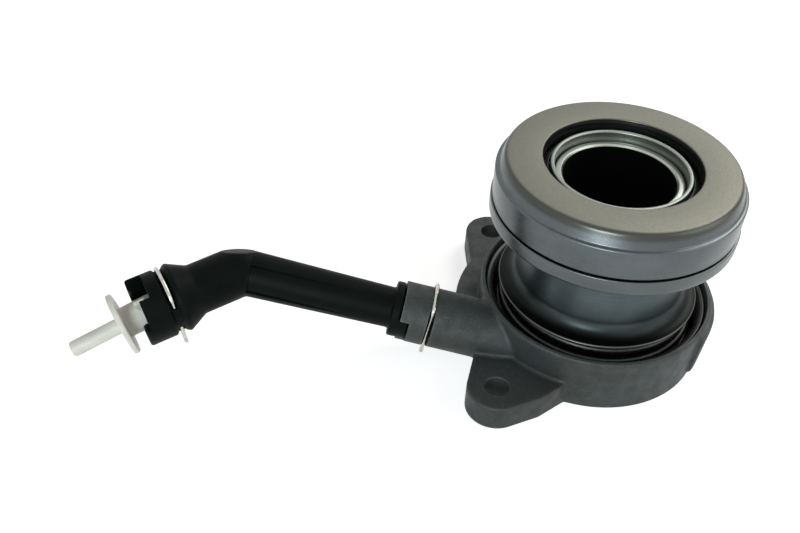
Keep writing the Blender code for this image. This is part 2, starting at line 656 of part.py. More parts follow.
def make_preload_spring(parts):
    """A conical coil that telescopes flat, with its end turns closed."""
    low = POCKET_FLOOR + GAP + SPRING_WIRE
    high = SHROUD_FOOT - SHROUD_WALL - GAP - SPRING_WIRE
    count = int(SPRING_TURNS * SPRING_POINTS)
    points = []
    for i in range(count + 1):
        turn = SPRING_TURNS * i / count
        share = min(1.0, max(0.0, (turn - SPRING_CLOSED) / (SPRING_TURNS - 2.0 * SPRING_CLOSED)))
        radius = SPRING_LOW + (SPRING_HIGH - SPRING_LOW) * turn / SPRING_TURNS
        angle = 2.0 * math.pi * turn
        points.append((radius * math.cos(angle), radius * math.sin(angle), low + (high - low) * share))
    return finish(wire("preload_spring", points, SPRING_WIRE, parts), "spring_steel", 60.0)


def make_pipe(parts, cutters, arm, leg):
    nose = ARM_BORE - GAP
    face = ARM_END + GAP
    clip_low = ARM_END - ARM_CLIP_AT - WIRE - GAP
    clip_high = ARM_END - ARM_CLIP_AT + WIRE + GAP
    seal_at = ARM_END - NOSE_SEAL_AT
    seal_half = NOSE_SEAL_SECTION + GAP
    groove = nose - NOSE_GROOVE_DEPTH
    seal_groove = ARM_BORE - 2.0 * (GAP + NOSE_SEAL_SECTION)
    flange_end = face + PIPE_FLANGE_THICK
    profile = solid_of_revolution([
        (PIPE_LEFT, ELBOW_AT), (PIPE_START, flange_end), (PIPE_FLANGE, flange_end), (PIPE_FLANGE, face),
        (nose, face), (nose, clip_high), (groove, clip_high), (groove, clip_low), (nose, clip_low),
        (nose, seal_at + seal_half), (seal_groove, seal_at + seal_half), (seal_groove, seal_at - seal_half),
        (nose, seal_at - seal_half), (nose, ARM_END - NOSE_LENGTH + ROUND),
        (nose - ROUND, ARM_END - NOSE_LENGTH)])
    pipe = turned("pipe", profile, parts, arm, MID_STEPS, closed=False)
    groove_half = WIRE + GAP
    shoulder = LEG_END + SHOULDER_LENGTH
    bottom = SOCKET_RADIUS - SOCKET_GROOVE_DEPTH
    leg_profile = [
        (0.0, SOCKET_END), (SOCKET_RADIUS - SOCKET_EDGE, SOCKET_END),
        (SOCKET_RADIUS, SOCKET_END - SOCKET_EDGE),
        (SOCKET_RADIUS, LINE_CLIP_AT + groove_half + SOCKET_FLARE), (bottom, LINE_CLIP_AT + groove_half),
        (bottom, LINE_CLIP_AT - groove_half),
        (SHOULDER_RADIUS - SHOULDER_FLARE, LINE_CLIP_AT - groove_half - SHOULDER_FLARE),
        (SHOULDER_RADIUS, shoulder), (LEG_RADIUS, LEG_END)]
    leg_profile += arc((0.0, 0.0), LEG_RADIUS, 0.0, -90.0, ELBOW_POINTS)[:-1]
    leg_profile += [(0.0, -LEG_RADIUS)]
    limb = turned("limb", leg_profile, cutters, leg, MID_STEPS, closed=False)
    bore = rod("pipe_bore", PIPE_BORE, ARM_END - NOSE_LENGTH - GAP, ELBOW_AT, cutters, arm)
    leg_bore = rod("leg_bore", PIPE_BORE, 0.0, SOCKET_END - SOCKET_DEPTH + GAP, cutters, leg)
    socket = rod("socket", SOCKET_BORE, SOCKET_END - SOCKET_DEPTH, SOCKET_END + GAP, cutters, leg, MID_STEPS)
    slot = box("slot", (-SLOT_HALF, 0.0, SOCKET_END - SLOT_DEPTH),
               (SLOT_HALF, 2.0 * SOCKET_RADIUS, SOCKET_END + GAP), cutters, leg)
    relief = box("relief", (0.0, RELIEF_FOOT, SOCKET_END - RELIEF_DEPTH),
                 (2.0 * SOCKET_RADIUS, 2.0 * SOCKET_RADIUS, SOCKET_END + GAP), cutters, leg)
    bend_bore = ball("bend_bore", BEND_BORE, cutters, leg, SMALL_STEPS, BALL_RINGS)
    key = key_wedge("key", PIPE_FLANGE - ROUND, nose - ROUND, GAP + ROUND, 0.0, arm, cutters)
    pipe = baked(join(pipe, limb))
    pipe = baked(join(pipe, key))
    pipe = baked(cut(pipe, bore, leg_bore, bend_bore, socket))
    pipe = baked(cut(pipe, slot))
    pipe = baked(cut(pipe, relief))
    leg_side = LINE_CLIP_HALF + WIRE + LINE_CLIP_COVER
    for side in (-1.0, 1.0):
        cut(pipe, clip_slot("line_slot", side, LINE_CLIP_AT, LINE_CLIP_HALF, leg_side, SOCKET_RADIUS, leg,
                            cutters))
    return finish(pipe, "pipe_plastic")


def ball(name, radius, target, place, segments=BALL_SEGMENTS, rings=BALL_RINGS):
    mesh = bpy.data.meshes.new(name)
    work = bmesh.new()
    bmesh.ops.create_uvsphere(work, u_segments=segments, v_segments=rings, radius=radius)
    work.to_mesh(mesh)
    work.free()
    return add_object(name, mesh, place, target)


def make_pipe_seal(parts, arm):
    ring = ring_of("pipe_seal", ARM_BORE - GAP - NOSE_SEAL_SECTION, ARM_END - NOSE_SEAL_AT, NOSE_SEAL_SECTION,
                   parts, MID_STEPS, arm)
    return finish(ring, "seal_rubber")


def make_clips(parts, arm, leg):
    arm_route = clip_route(ARM_CLIP_HALF, ARM_CLIP_TAIL, ARM_RADIUS, ARM_END - ARM_CLIP_AT)
    finish(wire("arm_clip", arm_route, WIRE, parts, arm), "wire_steel", 60.0)
    line_route = clip_route(LINE_CLIP_HALF, LINE_CLIP_TAIL, SOCKET_RADIUS - SOCKET_GROOVE_DEPTH, LINE_CLIP_AT)
    finish(wire("line_clip", line_route, WIRE, parts, leg), "wire_steel", 60.0)


def make_transport_plug(parts, cutters, leg):
    sag = Matrix.Translation((0.0, 0.0, PLUG_PIVOT)) @ Matrix.Rotation(math.radians(PLUG_SAG), 4, "X")
    foot = PLUG_FLANGE_AT
    top = PLUG_FLANGE_AT + PLUG_FLANGE_THICK
    bead = SOCKET_BORE - PLUG_BEAD_GAP
    profile = solid_of_revolution([
        (PLUG_STEM - PLUG_EDGE, PLUG_TIP), (PLUG_STEM, PLUG_TIP - PLUG_EDGE), (PLUG_STEM, top),
        (PLUG_FLANGE - PLUG_EDGE, top), (PLUG_FLANGE, top - PLUG_EDGE), (PLUG_FLANGE, foot + PLUG_EDGE),
        (PLUG_FLANGE - PLUG_EDGE, foot), (PLUG_SHANK, foot), (PLUG_SHANK, PLUG_BEAD_HALF),
        (bead, PLUG_BEAD_HALF), (bead, -PLUG_BEAD_HALF), (PLUG_SHANK, -PLUG_BEAD_HALF),
        (PLUG_SHANK, ROUND - PLUG_INSERT), (PLUG_SHANK - ROUND, -PLUG_INSERT)])
    plug = turned("transport_plug", profile, parts, leg @ sag, MID_STEPS, closed=False)
    turn = Matrix.Rotation(math.radians(PLUG_RIB_ANGLE), 4, "Z")
    rib = box("rib", (0.0, -PLUG_RIB_HALF, PLUG_RIB_START), (PLUG_RIB_REACH, PLUG_RIB_HALF, PLUG_RIB_END),
              cutters, leg @ sag @ turn)
    return finish(join(plug, rib), "plug_plastic")


def make_piston(parts):
    bore = TUBE_OUTER + RUN_GAP
    skirt = CYLINDER_BORE - RUN_GAP
    nose = SLEEVE_BORE - GAP
    shoulder = PLATE_FOOT - GAP
    nose_top = TUBE_TOP - TUBE_BEAD_HEIGHT - GAP
    profile = [(nose, nose_top), (nose, shoulder), (skirt - ROUND, shoulder), (skirt, shoulder - ROUND),
               (skirt, PISTON_FOOT + ROUND), (skirt - ROUND, PISTON_FOOT), (bore, PISTON_FOOT),
               (bore, nose_top)]
    return finish(turned("piston", profile, parts, steps=INNER_STEPS), "piston_plastic")


def make_piston_seals(parts):
    inner = TUBE_OUTER + RUN_GAP
    outer = CYLINDER_BORE - RUN_GAP
    middle = (inner + outer) / 2.0
    cup = [(outer - ROUND, SEAL_TOP), (outer - ROUND, SEAL_FOOT + SEAL_LIP), (outer, SEAL_FOOT),
           (outer - SEAL_LIP, SEAL_FOOT), (middle, SEAL_FOOT + SEAL_CUP), (inner + SEAL_LIP, SEAL_FOOT),
           (inner, SEAL_FOOT), (inner + ROUND, SEAL_FOOT + SEAL_LIP), (inner + ROUND, SEAL_TOP)]
    finish(turned("piston_seal", cup, parts, steps=INNER_STEPS), "seal_rubber")
    foot = SEAL_TOP + GAP
    ring = [(outer, foot + SUPPORT_THICK), (outer, foot), (inner, foot), (inner, foot + SUPPORT_THICK)]
    finish(turned("support_ring", ring, parts, steps=INNER_STEPS), "piston_plastic")


def make_shroud(parts):
    """Pressed sleeve: flared lip below, straight neck, and a flange under the bearing's plate."""
    neck = SHROUD_NECK
    inner = neck - SHROUD_WALL
    top = PLATE_FOOT - GAP
    low_centre = (neck + SHROUD_FLARE, SHROUD_FOOT + SHROUD_FLARE)
    high_centre = (neck + SHROUD_TOP_CURVE, top - SHROUD_WALL - SHROUD_TOP_CURVE)
    bead = (SHROUD_LIP - SHROUD_BEAD, SHROUD_FOOT - SHROUD_WALL / 2.0)
    outside = [(SHROUD_FLANGE, top), (SHROUD_FLANGE, top - SHROUD_WALL)]
    outside += arc(high_centre, SHROUD_TOP_CURVE, 90.0, 180.0, 2)
    outside += arc(low_centre, SHROUD_FLARE, 180.0, 270.0, SHROUD_POINTS)
    rolled = arc(bead, SHROUD_BEAD, 80.0, -80.0, 2)
    inside = arc(low_centre, SHROUD_FLARE + SHROUD_WALL, 270.0, 180.0, SHROUD_POINTS)
    inside += arc(high_centre, SHROUD_TOP_CURVE + SHROUD_WALL, 180.0, 90.0, 2)
    return finish(turned("shroud", outside + rolled + inside, parts), "shroud_steel")


def make_bearing_plate(parts):
    """The pressed cup under the bearing, whose rim is the lower bright band."""
    inner = BAND_RADIUS - BAND_WALL
    profile = [(BAND_RADIUS - BAND_EDGE, BAND_TOP), (BAND_RADIUS, BAND_TOP - BAND_EDGE),
               (BAND_RADIUS, PLATE_FOOT + PLATE_CORNER), (BAND_RADIUS - PLATE_CORNER, PLATE_FOOT),
               (SLEEVE_BORE, PLATE_FOOT), (SLEEVE_BORE, PLATE_TOP), (inner, PLATE_TOP), (inner, BAND_TOP)]
    return finish(turned("bearing_plate", profile, parts), "bearing_steel")


def make_bearing_sleeve(parts):
    flange_top = SLEEVE_FOOT + SLEEVE_FLANGE_THICK
    profile = [(SLEEVE_RADIUS - SLEEVE_EDGE, SLEEVE_TOP), (SLEEVE_RADIUS, SLEEVE_TOP - SLEEVE_EDGE),
               (SLEEVE_RADIUS, flange_top), (SLEEVE_FLANGE, flange_top), (SLEEVE_FLANGE, SLEEVE_FOOT),
               (SLEEVE_BORE, SLEEVE_FOOT), (SLEEVE_BORE, SLEEVE_TOP - SLEEVE_EDGE),
               (SLEEVE_BORE + SLEEVE_EDGE, SLEEVE_TOP)]
    return finish(turned("bearing_sleeve", profile, parts, steps=TUBE_STEPS), "tube_steel")


def make_centring_spring(parts):
    """A wave washer that lets the bearing centre itself."""
    inner = SLEEVE_RADIUS + 2.0 * GAP
    outer = SLEEVE_FLANGE - 2.0 * GAP
    middle = WAVE_FOOT + WAVE_ROOM / 2.0
    half = WAVE_THICK / 2.0
    profile = [(outer, middle + half), (outer, middle - half), (inner, middle - half), (inner, middle + half)]
    spring = baked(turned("centring_spring", profile, parts, steps=WAVE_STEPS))
    for vertex in spring.data.vertices:
        angle = math.atan2(vertex.co.y, vertex.co.x)
        vertex.co.z += (WAVE_ROOM / 2.0 - half) * math.cos(WAVE_COUNT * angle)
    return finish(spring, "wire_steel", 60.0)


def make_inner_ring(parts):
    race = BALL_RADIUS + BALL_PLAY
    centre = (BALL_PITCH, BALL_HEIGHT)
    groove = arc(centre, race, 180.0 - GROOVE_WRAP, 270.0 + GROOVE_WRAP, GROOVE_POINTS)
    land = groove[0][0]
    bore = SLEEVE_RADIUS + GAP
    flange_top = RACE_FOOT + RACE_FLANGE_THICK
    profile = [(land - ROUND, RACE_TOP), (land, RACE_TOP - ROUND)] + groove
    profile += [(groove[-1][0] + RACE_LAND, flange_top), (RACE_FLANGE, flange_top), (RACE_FLANGE, RACE_FOOT),
                (bore, RACE_FOOT), (bore, RACE_TOP)]
    return finish(turned("inner_ring", profile, parts, steps=INNER_STEPS), "bearing_steel")


def make_face_seal(parts):
    inner = SLEEVE_RADIUS + GAP
    outer = FACE_INNER - RUN_GAP
    top = FACE_SEAL_FOOT + FACE_SEAL_HEIGHT
    edge = FACE_SEAL_EDGE
    profile = [(outer - edge, top - edge), (outer, top - 2.0 * edge), (outer, FACE_SEAL_FOOT + edge),
               (outer - edge, FACE_SEAL_FOOT), (inner, FACE_SEAL_FOOT), (inner, top)]
    return finish(turned("face_seal", profile, parts, steps=INNER_STEPS), "seal_rubber")


def make_outer_ring(parts):
    """The rotating ring: flat pressure face, rounded and stepped shoulder, raceway inside."""
    race = BALL_RADIUS + BALL_PLAY
    groove = arc((BALL_PITCH, BALL_HEIGHT), race, 90.0 + GROOVE_WRAP, -GROOVE_WRAP, GROOVE_POINTS)
    roof = groove[0][1] + FACE_ROOF
    wall = RING_RADIUS - RING_WALL
    step = FACE_HEIGHT - STEP_DEPTH
    corner = (FACE_OUTER, FACE_HEIGHT - FACE_ROUND)
    shoulder = arc(corner, FACE_ROUND, 90.0, SHOULDER_END, SHOULDER_POINTS)
    outside = [(FACE_INNER + ROUND, FACE_HEIGHT)] + shoulder
    outside += [(RING_RADIUS - STEP_STAND, step + RING_EDGE), (RING_RADIUS - RING_EDGE, step),
                (RING_RADIUS, step - STEP_FALL), (RING_RADIUS, RING_FOOT + RING_EDGE),
                (RING_RADIUS - RING_EDGE, RING_FOOT), (wall, RING_FOOT), (wall, groove[-1][1] - ROUND)]
    inside = list(reversed(groove))
    inside += [(groove[0][0] - ROUND, roof), (FACE_INNER, roof), (FACE_INNER, FACE_HEIGHT - ROUND)]
    return finish(turned("outer_ring", outside + inside, parts), "bearing_steel")


def make_balls_and_cage(parts, cutters):
    slope = math.radians(CAGE_SLOPE)
    corners = []
    for along, across in ((-1.0, 1.0), (1.0, 1.0), (1.0, -1.0), (-1.0, -1.0)):
        reach = along * CAGE_HALF_LENGTH
        lift = across * CAGE_HALF_THICK
        corners.append((BALL_PITCH + reach * math.cos(slope) + lift * math.sin(slope),
                        BALL_HEIGHT + lift * math.cos(slope) - reach * math.sin(slope)))
    cage = turned("cage", corners, parts, steps=INNER_STEPS)
    for i in range(BALL_COUNT):
        turn = Matrix.Rotation(2.0 * math.pi * i / BALL_COUNT, 4, "Z")
        place = turn @ Matrix.Translation((BALL_PITCH, 0.0, BALL_HEIGHT))
        across = place @ Matrix.Rotation(slope, 4, "Y")
        cut(cage, rod("pocket_%02d" % (i + 1), BALL_RADIUS + 2.0 * BALL_PLAY, -3.0 * CAGE_HALF_THICK,
                      3.0 * CAGE_HALF_THICK, cutters, across, CAGE_HOLE_STEPS))
        finish(ball("ball_%02d" % (i + 1), BALL_RADIUS, parts, place), "ball_steel", 60.0)
    return finish(cage, "cage_plastic")


def main():
    clear_scene()
    parts = collection("clutch_cylinder")
    cutters = collection("cutters")
    arm = axis_frame(ARM_POINT, ARM_TURN, ARM_RISE)
    elbow = arm @ Vector((0.0, 0.0, ELBOW_AT))
    leg = axis_frame(elbow, LEG_TURN, -LEG_DROP, -1.0)
    make_housing(parts, cutters, arm)
    make_guide_tube(parts)
    make_tube_seal(parts)
    make_dust_seal(parts)
    make_preload_spring(parts)
    make_pipe(parts, cutters, arm, leg)
    make_pipe_seal(parts, arm)
    make_clips(parts, arm, leg)
    make_transport_plug(parts, cutters, leg)
    make_piston(parts)
    make_piston_seals(parts)
    make_shroud(parts)
    make_bearing_plate(parts)
    make_bearing_sleeve(parts)
    make_centring_spring(parts)
    make_inner_ring(parts)
    make_face_seal(parts)
    make_outer_ring(parts)
    make_balls_and_cage(parts, cutters)
    for obj in cutters.objects:
        hide_cutter(obj)


main()
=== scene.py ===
# %% [markdown]
# # A clutch cylinder, dressed
#
# A concentric clutch cylinder sits round a gearbox's input shaft. Oil pushes a ring-shaped piston
# out along a steel tube, and the bearing on the piston's end presses the spinning clutch's fingers.
# The solids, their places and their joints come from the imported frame. This lesson gives each
# piece that shows the fine form and finish of the real one, and none of them is moved or resized.

# %% Load the frame
import json
import math

import bmesh
import bpy
from mathutils import Matrix, Vector

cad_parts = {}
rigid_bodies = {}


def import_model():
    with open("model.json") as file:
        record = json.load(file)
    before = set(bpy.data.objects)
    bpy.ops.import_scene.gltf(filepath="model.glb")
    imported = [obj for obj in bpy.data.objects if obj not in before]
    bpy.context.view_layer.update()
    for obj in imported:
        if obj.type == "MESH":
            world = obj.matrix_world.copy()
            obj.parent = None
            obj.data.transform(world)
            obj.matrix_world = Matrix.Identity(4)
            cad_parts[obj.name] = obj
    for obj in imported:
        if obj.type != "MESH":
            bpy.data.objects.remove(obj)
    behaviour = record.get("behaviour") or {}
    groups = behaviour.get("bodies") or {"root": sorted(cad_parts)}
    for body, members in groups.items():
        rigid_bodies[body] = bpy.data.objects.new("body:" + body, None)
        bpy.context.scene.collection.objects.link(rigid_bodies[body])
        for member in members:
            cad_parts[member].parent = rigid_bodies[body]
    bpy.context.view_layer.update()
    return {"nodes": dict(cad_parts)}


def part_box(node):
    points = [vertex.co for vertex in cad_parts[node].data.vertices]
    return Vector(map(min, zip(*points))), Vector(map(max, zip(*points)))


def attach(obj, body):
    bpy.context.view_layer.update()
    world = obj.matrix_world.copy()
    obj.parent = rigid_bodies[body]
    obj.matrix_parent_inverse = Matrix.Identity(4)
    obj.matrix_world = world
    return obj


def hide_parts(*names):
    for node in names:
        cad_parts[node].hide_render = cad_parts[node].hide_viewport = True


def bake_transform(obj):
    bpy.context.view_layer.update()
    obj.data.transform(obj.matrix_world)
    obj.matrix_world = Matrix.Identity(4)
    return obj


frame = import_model()
MM = 0.001

# %% [markdown]
# ## Reading sizes off the frame
#
# A radius or a height that a node already has is read from its box, so that a finer copy of the
# piece has the same size as its solid. Only sizes that a box can't give are written out here, in
# millimetres times MM.

# %% Sizes that the frame gives


def radius_of(node):
    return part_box(node)[1].x


def foot_of(node):
    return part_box(node)[0].z


def top_of(node):
    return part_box(node)[1].z


ring_radius = radius_of("outer_ring")
ring_foot = foot_of("outer_ring")
face_height = top_of("outer_ring")
band_radius = radius_of("bearing_plate")
plate_foot = foot_of("bearing_plate")
band_top = top_of("bearing_plate")
shroud_top = top_of("shroud")
sleeve_top = top_of("bearing_sleeve")
tube_top = top_of("guide_tube")
print("pressure ring: radius %.2f mm, face at %.2f mm" % (ring_radius / MM, face_height / MM))

# %% Sizes of the turned pieces
# All are radii but the shroud's wall, which is a thickness, and its foot, which is a height.
TUBE_BORE = 15.67 * MM
TUBE_OUTER = 16.92 * MM
TUBE_BEAD = 18.16 * MM
SLEEVE_BORE = 18.40 * MM
SLEEVE_RADIUS = 19.63 * MM
FACE_INNER = 21.96 * MM
FACE_OUTER = 31.0 * MM
SHROUD_NECK = 24.7 * MM
SHROUD_WALL = 0.8 * MM
SHROUD_FOOT = 20.6 * MM
SHROUD_LIP = 29.8 * MM
RING_TURNS = 192           # facets round a large turned piece

# %% Sizes of the housing
# The wall leans a little, as a mould needs: it is wider at its rim than at its base.
RIM_RADIUS = 35.0 * MM
BASE_RADIUS = 34.05 * MM
RIM_TOP = 18.7 * MM
RIM_WALL = 1.5 * MM
SEAL_LEDGE = 13.7 * MM
POCKET_RADIUS = 31.8 * MM
POCKET_FLOOR = 4.2 * MM
CYLINDER_OUTER = 23.6 * MM
CYLINDER_BORE = 22.1 * MM
CYLINDER_TOP = 31.0 * MM
CHAMBER_FLOOR = 5.2 * MM
BOLT_CIRCLE = 46.7 * MM
BOLT_HOLE = 3.5 * MM
LUG_RADIUS = 8.68 * MM
LUG_TOP = 8.1 * MM
LUG_ANGLES = (130.0, -130.0, 50.0)    # degrees round the axis

# %% Sizes of the arm, the pipe and the plug
ARM_POINT = Vector((-45.0, -13.8, 11.7)) * MM
ARM_TURN = 4.0             # degrees from -X towards +Y
ARM_RISE = 10.0            # degrees above level
ARM_RADIUS = 8.95 * MM
ARM_END = 14.0 * MM
ARM_BORE = 6.2 * MM
ELBOW_AT = 63.7 * MM       # along the arm, from its point
LEG_TURN = 31.9            # degrees from -X towards -Y
LEG_DROP = 7.3             # degrees below level
LEG_RADIUS = 7.67 * MM
SOCKET_RADIUS = 10.24 * MM
SOCKET_END = 31.8 * MM
WIRE = 0.6 * MM            # radius of the clips' wire
GAP = 0.3 * MM             # room between pieces that fit into each other

# %% [markdown]
# ## Camera and stage
#
# The photograph looks down on the part at about forty degrees from close by, so near things look
# large. The camera stands where a fit to the photograph's edges put it. Its frame is made from the
# direction it looks in and a small roll.

# %% Camera
CAMERA_AT = Vector((-0.0543, -0.2072, 0.1982))
CAMERA_LOOK = Vector((-0.0212, 0.7583, -0.6515))
CAMERA_ROLL = 2.39         # degrees
LENS = 39.98               # focal length and sensor's width, both in millimetres
SENSOR = 36.0

camera_data = bpy.data.cameras.new("camera")
camera_data.lens = LENS
camera_data.sensor_width = SENSOR
camera_data.clip_start = 0.01
camera_data.clip_end = 20.0
camera = bpy.data.objects.new("camera", camera_data)
bpy.context.scene.collection.objects.link(camera)
level = CAMERA_LOOK.to_track_quat("-Z", "Y").to_matrix()
camera.matrix_world = Matrix.Translation(CAMERA_AT) @ (
    level @ Matrix.Rotation(math.radians(CAMERA_ROLL), 3, "Z")).to_4x4()
bpy.context.scene.camera = camera
print("camera stands %.0f mm from the part's middle" % (CAMERA_AT.length / MM))

# %% [markdown]
# The floor and the backdrop are white where the camera sees them. A Light Path node gives that
# white to camera, glossy and transmission rays only, so it never brightens the object, and the
# floor still takes the object's soft shadow.

# %% Helpers for shader nodes


def output_nodes(material):
    """Empties a material's tree and gives it a new output."""
    tree = material.node_tree
    tree.nodes.clear()
    return tree, tree.nodes.new("ShaderNodeOutputMaterial")


def feed(tree, socket, value):
    """Links a socket to another one, or writes a plain number or colour on it."""
    if isinstance(value, bpy.types.NodeSocket):
        tree.links.new(value, socket)
    else:
        socket.default_value = (*value, 1.0) if isinstance(value, tuple) else value


def maths(tree, operation, *values):
    """A Math node over sockets and plain numbers, in their order."""
    made = tree.nodes.new("ShaderNodeMath")
    made.operation = operation
    for socket, value in zip(made.inputs, values):
        feed(tree, socket, value)
    return made.outputs[0]


def between(tree, value, low, high, start=0.3, end=0.7):
    """Maps a value's range start to end onto low to high, and clamps it."""
    made = tree.nodes.new("ShaderNodeMapRange")
    made.inputs["From Min"].default_value = start
    made.inputs["From Max"].default_value = end
    made.inputs["To Min"].default_value = low
    made.inputs["To Max"].default_value = high
    tree.links.new(value, made.inputs["Value"])
    return made.outputs["Result"]


def seen_rays(tree):
    """1 for camera, glossy and transmission rays, and 0 for the light that falls on things."""
    path = tree.nodes.new("ShaderNodeLightPath")
    mirrored = maths(tree, "MAXIMUM", path.outputs["Is Camera Ray"], path.outputs["Is Glossy Ray"])
    return maths(tree, "MAXIMUM", mirrored, path.outputs["Is Transmission Ray"])


# %% Floor
FLOOR_COLOUR = (0.82, 0.82, 0.82)
FLOOR_GLOW = 0.70
FLOOR_REACH = 3.0          # metres from the middle to each side
FLOOR_DROP = 0.1 * MM      # keeps the floor's face off the part's own base

floor_paint = bpy.data.materials.new("floor_paint")
floor_paint.use_nodes = True
tree, out = output_nodes(floor_paint)
matt = tree.nodes.new("ShaderNodeBsdfDiffuse")
feed(tree, matt.inputs["Color"], FLOOR_COLOUR)
glow = tree.nodes.new("ShaderNodeEmission")
feed(tree, glow.inputs["Strength"], maths(tree, "MULTIPLY", seen_rays(tree), FLOOR_GLOW))
both = tree.nodes.new("ShaderNodeAddShader")
tree.links.new(matt.outputs[0], both.inputs[0])
tree.links.new(glow.outputs[0], both.inputs[1])
tree.links.new(both.outputs[0], out.inputs["Surface"])

floor_mesh = bpy.data.meshes.new("floor")
floor_corners = [(x * FLOOR_REACH, y * FLOOR_REACH, 0) for x, y in ((-1, -1), (1, -1), (1, 1), (-1, 1))]
floor_mesh.from_pydata(floor_corners, [], [(0, 1, 2, 3)])
floor = bpy.data.objects.new("floor", floor_mesh)
bpy.context.scene.collection.objects.link(floor)
floor.location.z = -FLOOR_DROP
floor_mesh.materials.append(floor_paint)

# %% World
WORLD_LIGHT = 0.20
world = bpy.data.worlds.new("studio")
bpy.context.scene.world = world
world.use_nodes = True
tree = world.node_tree
background = tree.nodes["Background"]
feed(tree, background.inputs["Color"], (1.0, 1.0, 1.0))
feed(tree, background.inputs["Strength"], between(tree, seen_rays(tree), WORLD_LIGHT, 1.0, 0.0, 1.0))
bpy.context.scene.view_settings.view_transform = "Standard"
print("floor glows %.2f where it is seen, world lights at %.2f" % (FLOOR_GLOW, WORLD_LIGHT))

# %% [markdown]
# The main light is a soft one at the front left, like a window. A broad lamp from the right and one
# from behind keep the shadows open. All of them are discs that aim at the part's middle.

# %% Lamps
PART_MIDDLE = Vector((0.0, 0.0, 0.03))


def soft_lamp(name, place, size, power, colour=(1.0, 1.0, 1.0)):
    data = bpy.data.lights.new(name, "AREA")
    data.color = colour
    data.shape = "DISK"
    data.size = size
    data.energy = power
    lamp = bpy.data.objects.new(name, data)
    bpy.context.scene.collection.objects.link(lamp)
    lamp.location = place
    lamp.rotation_euler = (PART_MIDDLE - Vector(place)).to_track_quat("-Z", "Y").to_euler()


soft_lamp("window", (-0.28, -0.90, 0.34), size=0.42, power=5.5, colour=(0.86, 0.96, 1.0))
soft_lamp("side", (0.85, -0.20, 0.45), size=0.80, power=2.3)
soft_lamp("back", (0.45, 0.55, 0.70), size=0.5, power=3.0, colour=(1.0, 0.98, 0.93))
print("lamps:", [item.name for item in bpy.data.lights])

# %% [markdown]
# ## Finishes
#
# Every finish is procedural and reads Object coordinates, so a pattern stays on its piece when the
# piece moves. Most have the same three layers: a slow drift of colour, a change of roughness, and a
# fine bump. The helpers below make those layers once.

# %% Helpers for finishes
NOISE_ROUGHNESS = 0.55
MIX_FIRST, MIX_SECOND, MIX_RESULT = 6, 7, 2    # the colour sockets of a Mix node
CORNER_SAMPLES = 8


def new_finish(name, colour, roughness, metallic):
    """A Principled material, with its tree and shader, ready for its layers."""
    made = bpy.data.materials.new(name)
    made.use_nodes = True
    tree, out = output_nodes(made)
    shader = tree.nodes.new("ShaderNodeBsdfPrincipled")
    shader.inputs["Base Color"].default_value = (*colour, 1.0)
    shader.inputs["Roughness"].default_value = roughness
    shader.inputs["Metallic"].default_value = metallic
    tree.links.new(shader.outputs[0], out.inputs["Surface"])
    return made, tree, shader


def noise(tree, scale, detail=3.0, vector=None):
    """Noise over Object coordinates, with its scale in features per metre."""
    made = tree.nodes.new("ShaderNodeTexNoise")
    made.inputs["Scale"].default_value = scale
    made.inputs["Detail"].default_value = detail
    made.inputs["Roughness"].default_value = NOISE_ROUGHNESS
    if vector is None:
        vector = tree.nodes.new("ShaderNodeTexCoord").outputs["Object"]
    tree.links.new(vector, made.inputs["Vector"])
    return made.outputs["Fac"]


def turned_coordinates(tree):
    """Radius and height of a point, which draws a lathe's marks round the bore's axis."""
    split = tree.nodes.new("ShaderNodeSeparateXYZ")
    tree.links.new(tree.nodes.new("ShaderNodeTexCoord").outputs["Object"], split.inputs[0])
    flat = tree.nodes.new("ShaderNodeCombineXYZ")
    tree.links.new(split.outputs["X"], flat.inputs["X"])
    tree.links.new(split.outputs["Y"], flat.inputs["Y"])
    length = tree.nodes.new("ShaderNodeVectorMath")
    length.operation = "LENGTH"
    tree.links.new(flat.outputs[0], length.inputs[0])
    both = tree.nodes.new("ShaderNodeCombineXYZ")
    tree.links.new(length.outputs["Value"], both.inputs["X"])
    tree.links.new(split.outputs["Z"], both.inputs["Y"])
    return both.outputs[0], length.outputs["Value"], split.outputs["Z"]


def mixed(tree, share, first, second):
    """Colour between two colours or sockets, by a share."""
    made = tree.nodes.new("ShaderNodeMix")
    made.data_type = "RGBA"
    feed(tree, made.inputs["Factor"], share)
    feed(tree, made.inputs[MIX_FIRST], first)
    feed(tree, made.inputs[MIX_SECOND], second)
    return made.outputs[MIX_RESULT]


def scaled(colour, share):
    return tuple(channel * share for channel in colour)


def shade(tree, value, colour, darker, lighter):
    """Drifts a colour between two shades of itself, given as shares of it."""
    return mixed(tree, between(tree, value, 0.0, 1.0), scaled(colour, darker), scaled(colour, lighter))


def coat(tree, shader, colour, roughness=None):
    """Feeds the shader's colour from a socket, and its roughness where one is given."""
    tree.links.new(colour, shader.inputs["Base Color"])
    if roughness is not None:
        tree.links.new(roughness, shader.inputs["Roughness"])


def fed_from(shader, name):
    """The socket that feeds one of the shader's inputs now."""
    return shader.inputs[name].links[0].from_socket


def bump(tree, shader, height, distance):
    made = tree.nodes.new("ShaderNodeBump")
    made.inputs["Strength"].default_value = 1.0
    made.inputs["Distance"].default_value = distance
    tree.links.new(height, made.inputs["Height"])
    tree.links.new(made.outputs[0], shader.inputs["Normal"])


def nearness(tree, distance, inside=False):
    """1 on open faces, and less where the same piece's other faces come close."""
    made = tree.nodes.new("ShaderNodeAmbientOcclusion")
    made.inputs["Distance"].default_value = distance
    made.samples = CORNER_SAMPLES
    made.inside = inside
    made.only_local = True
    return made.outputs["AO"]


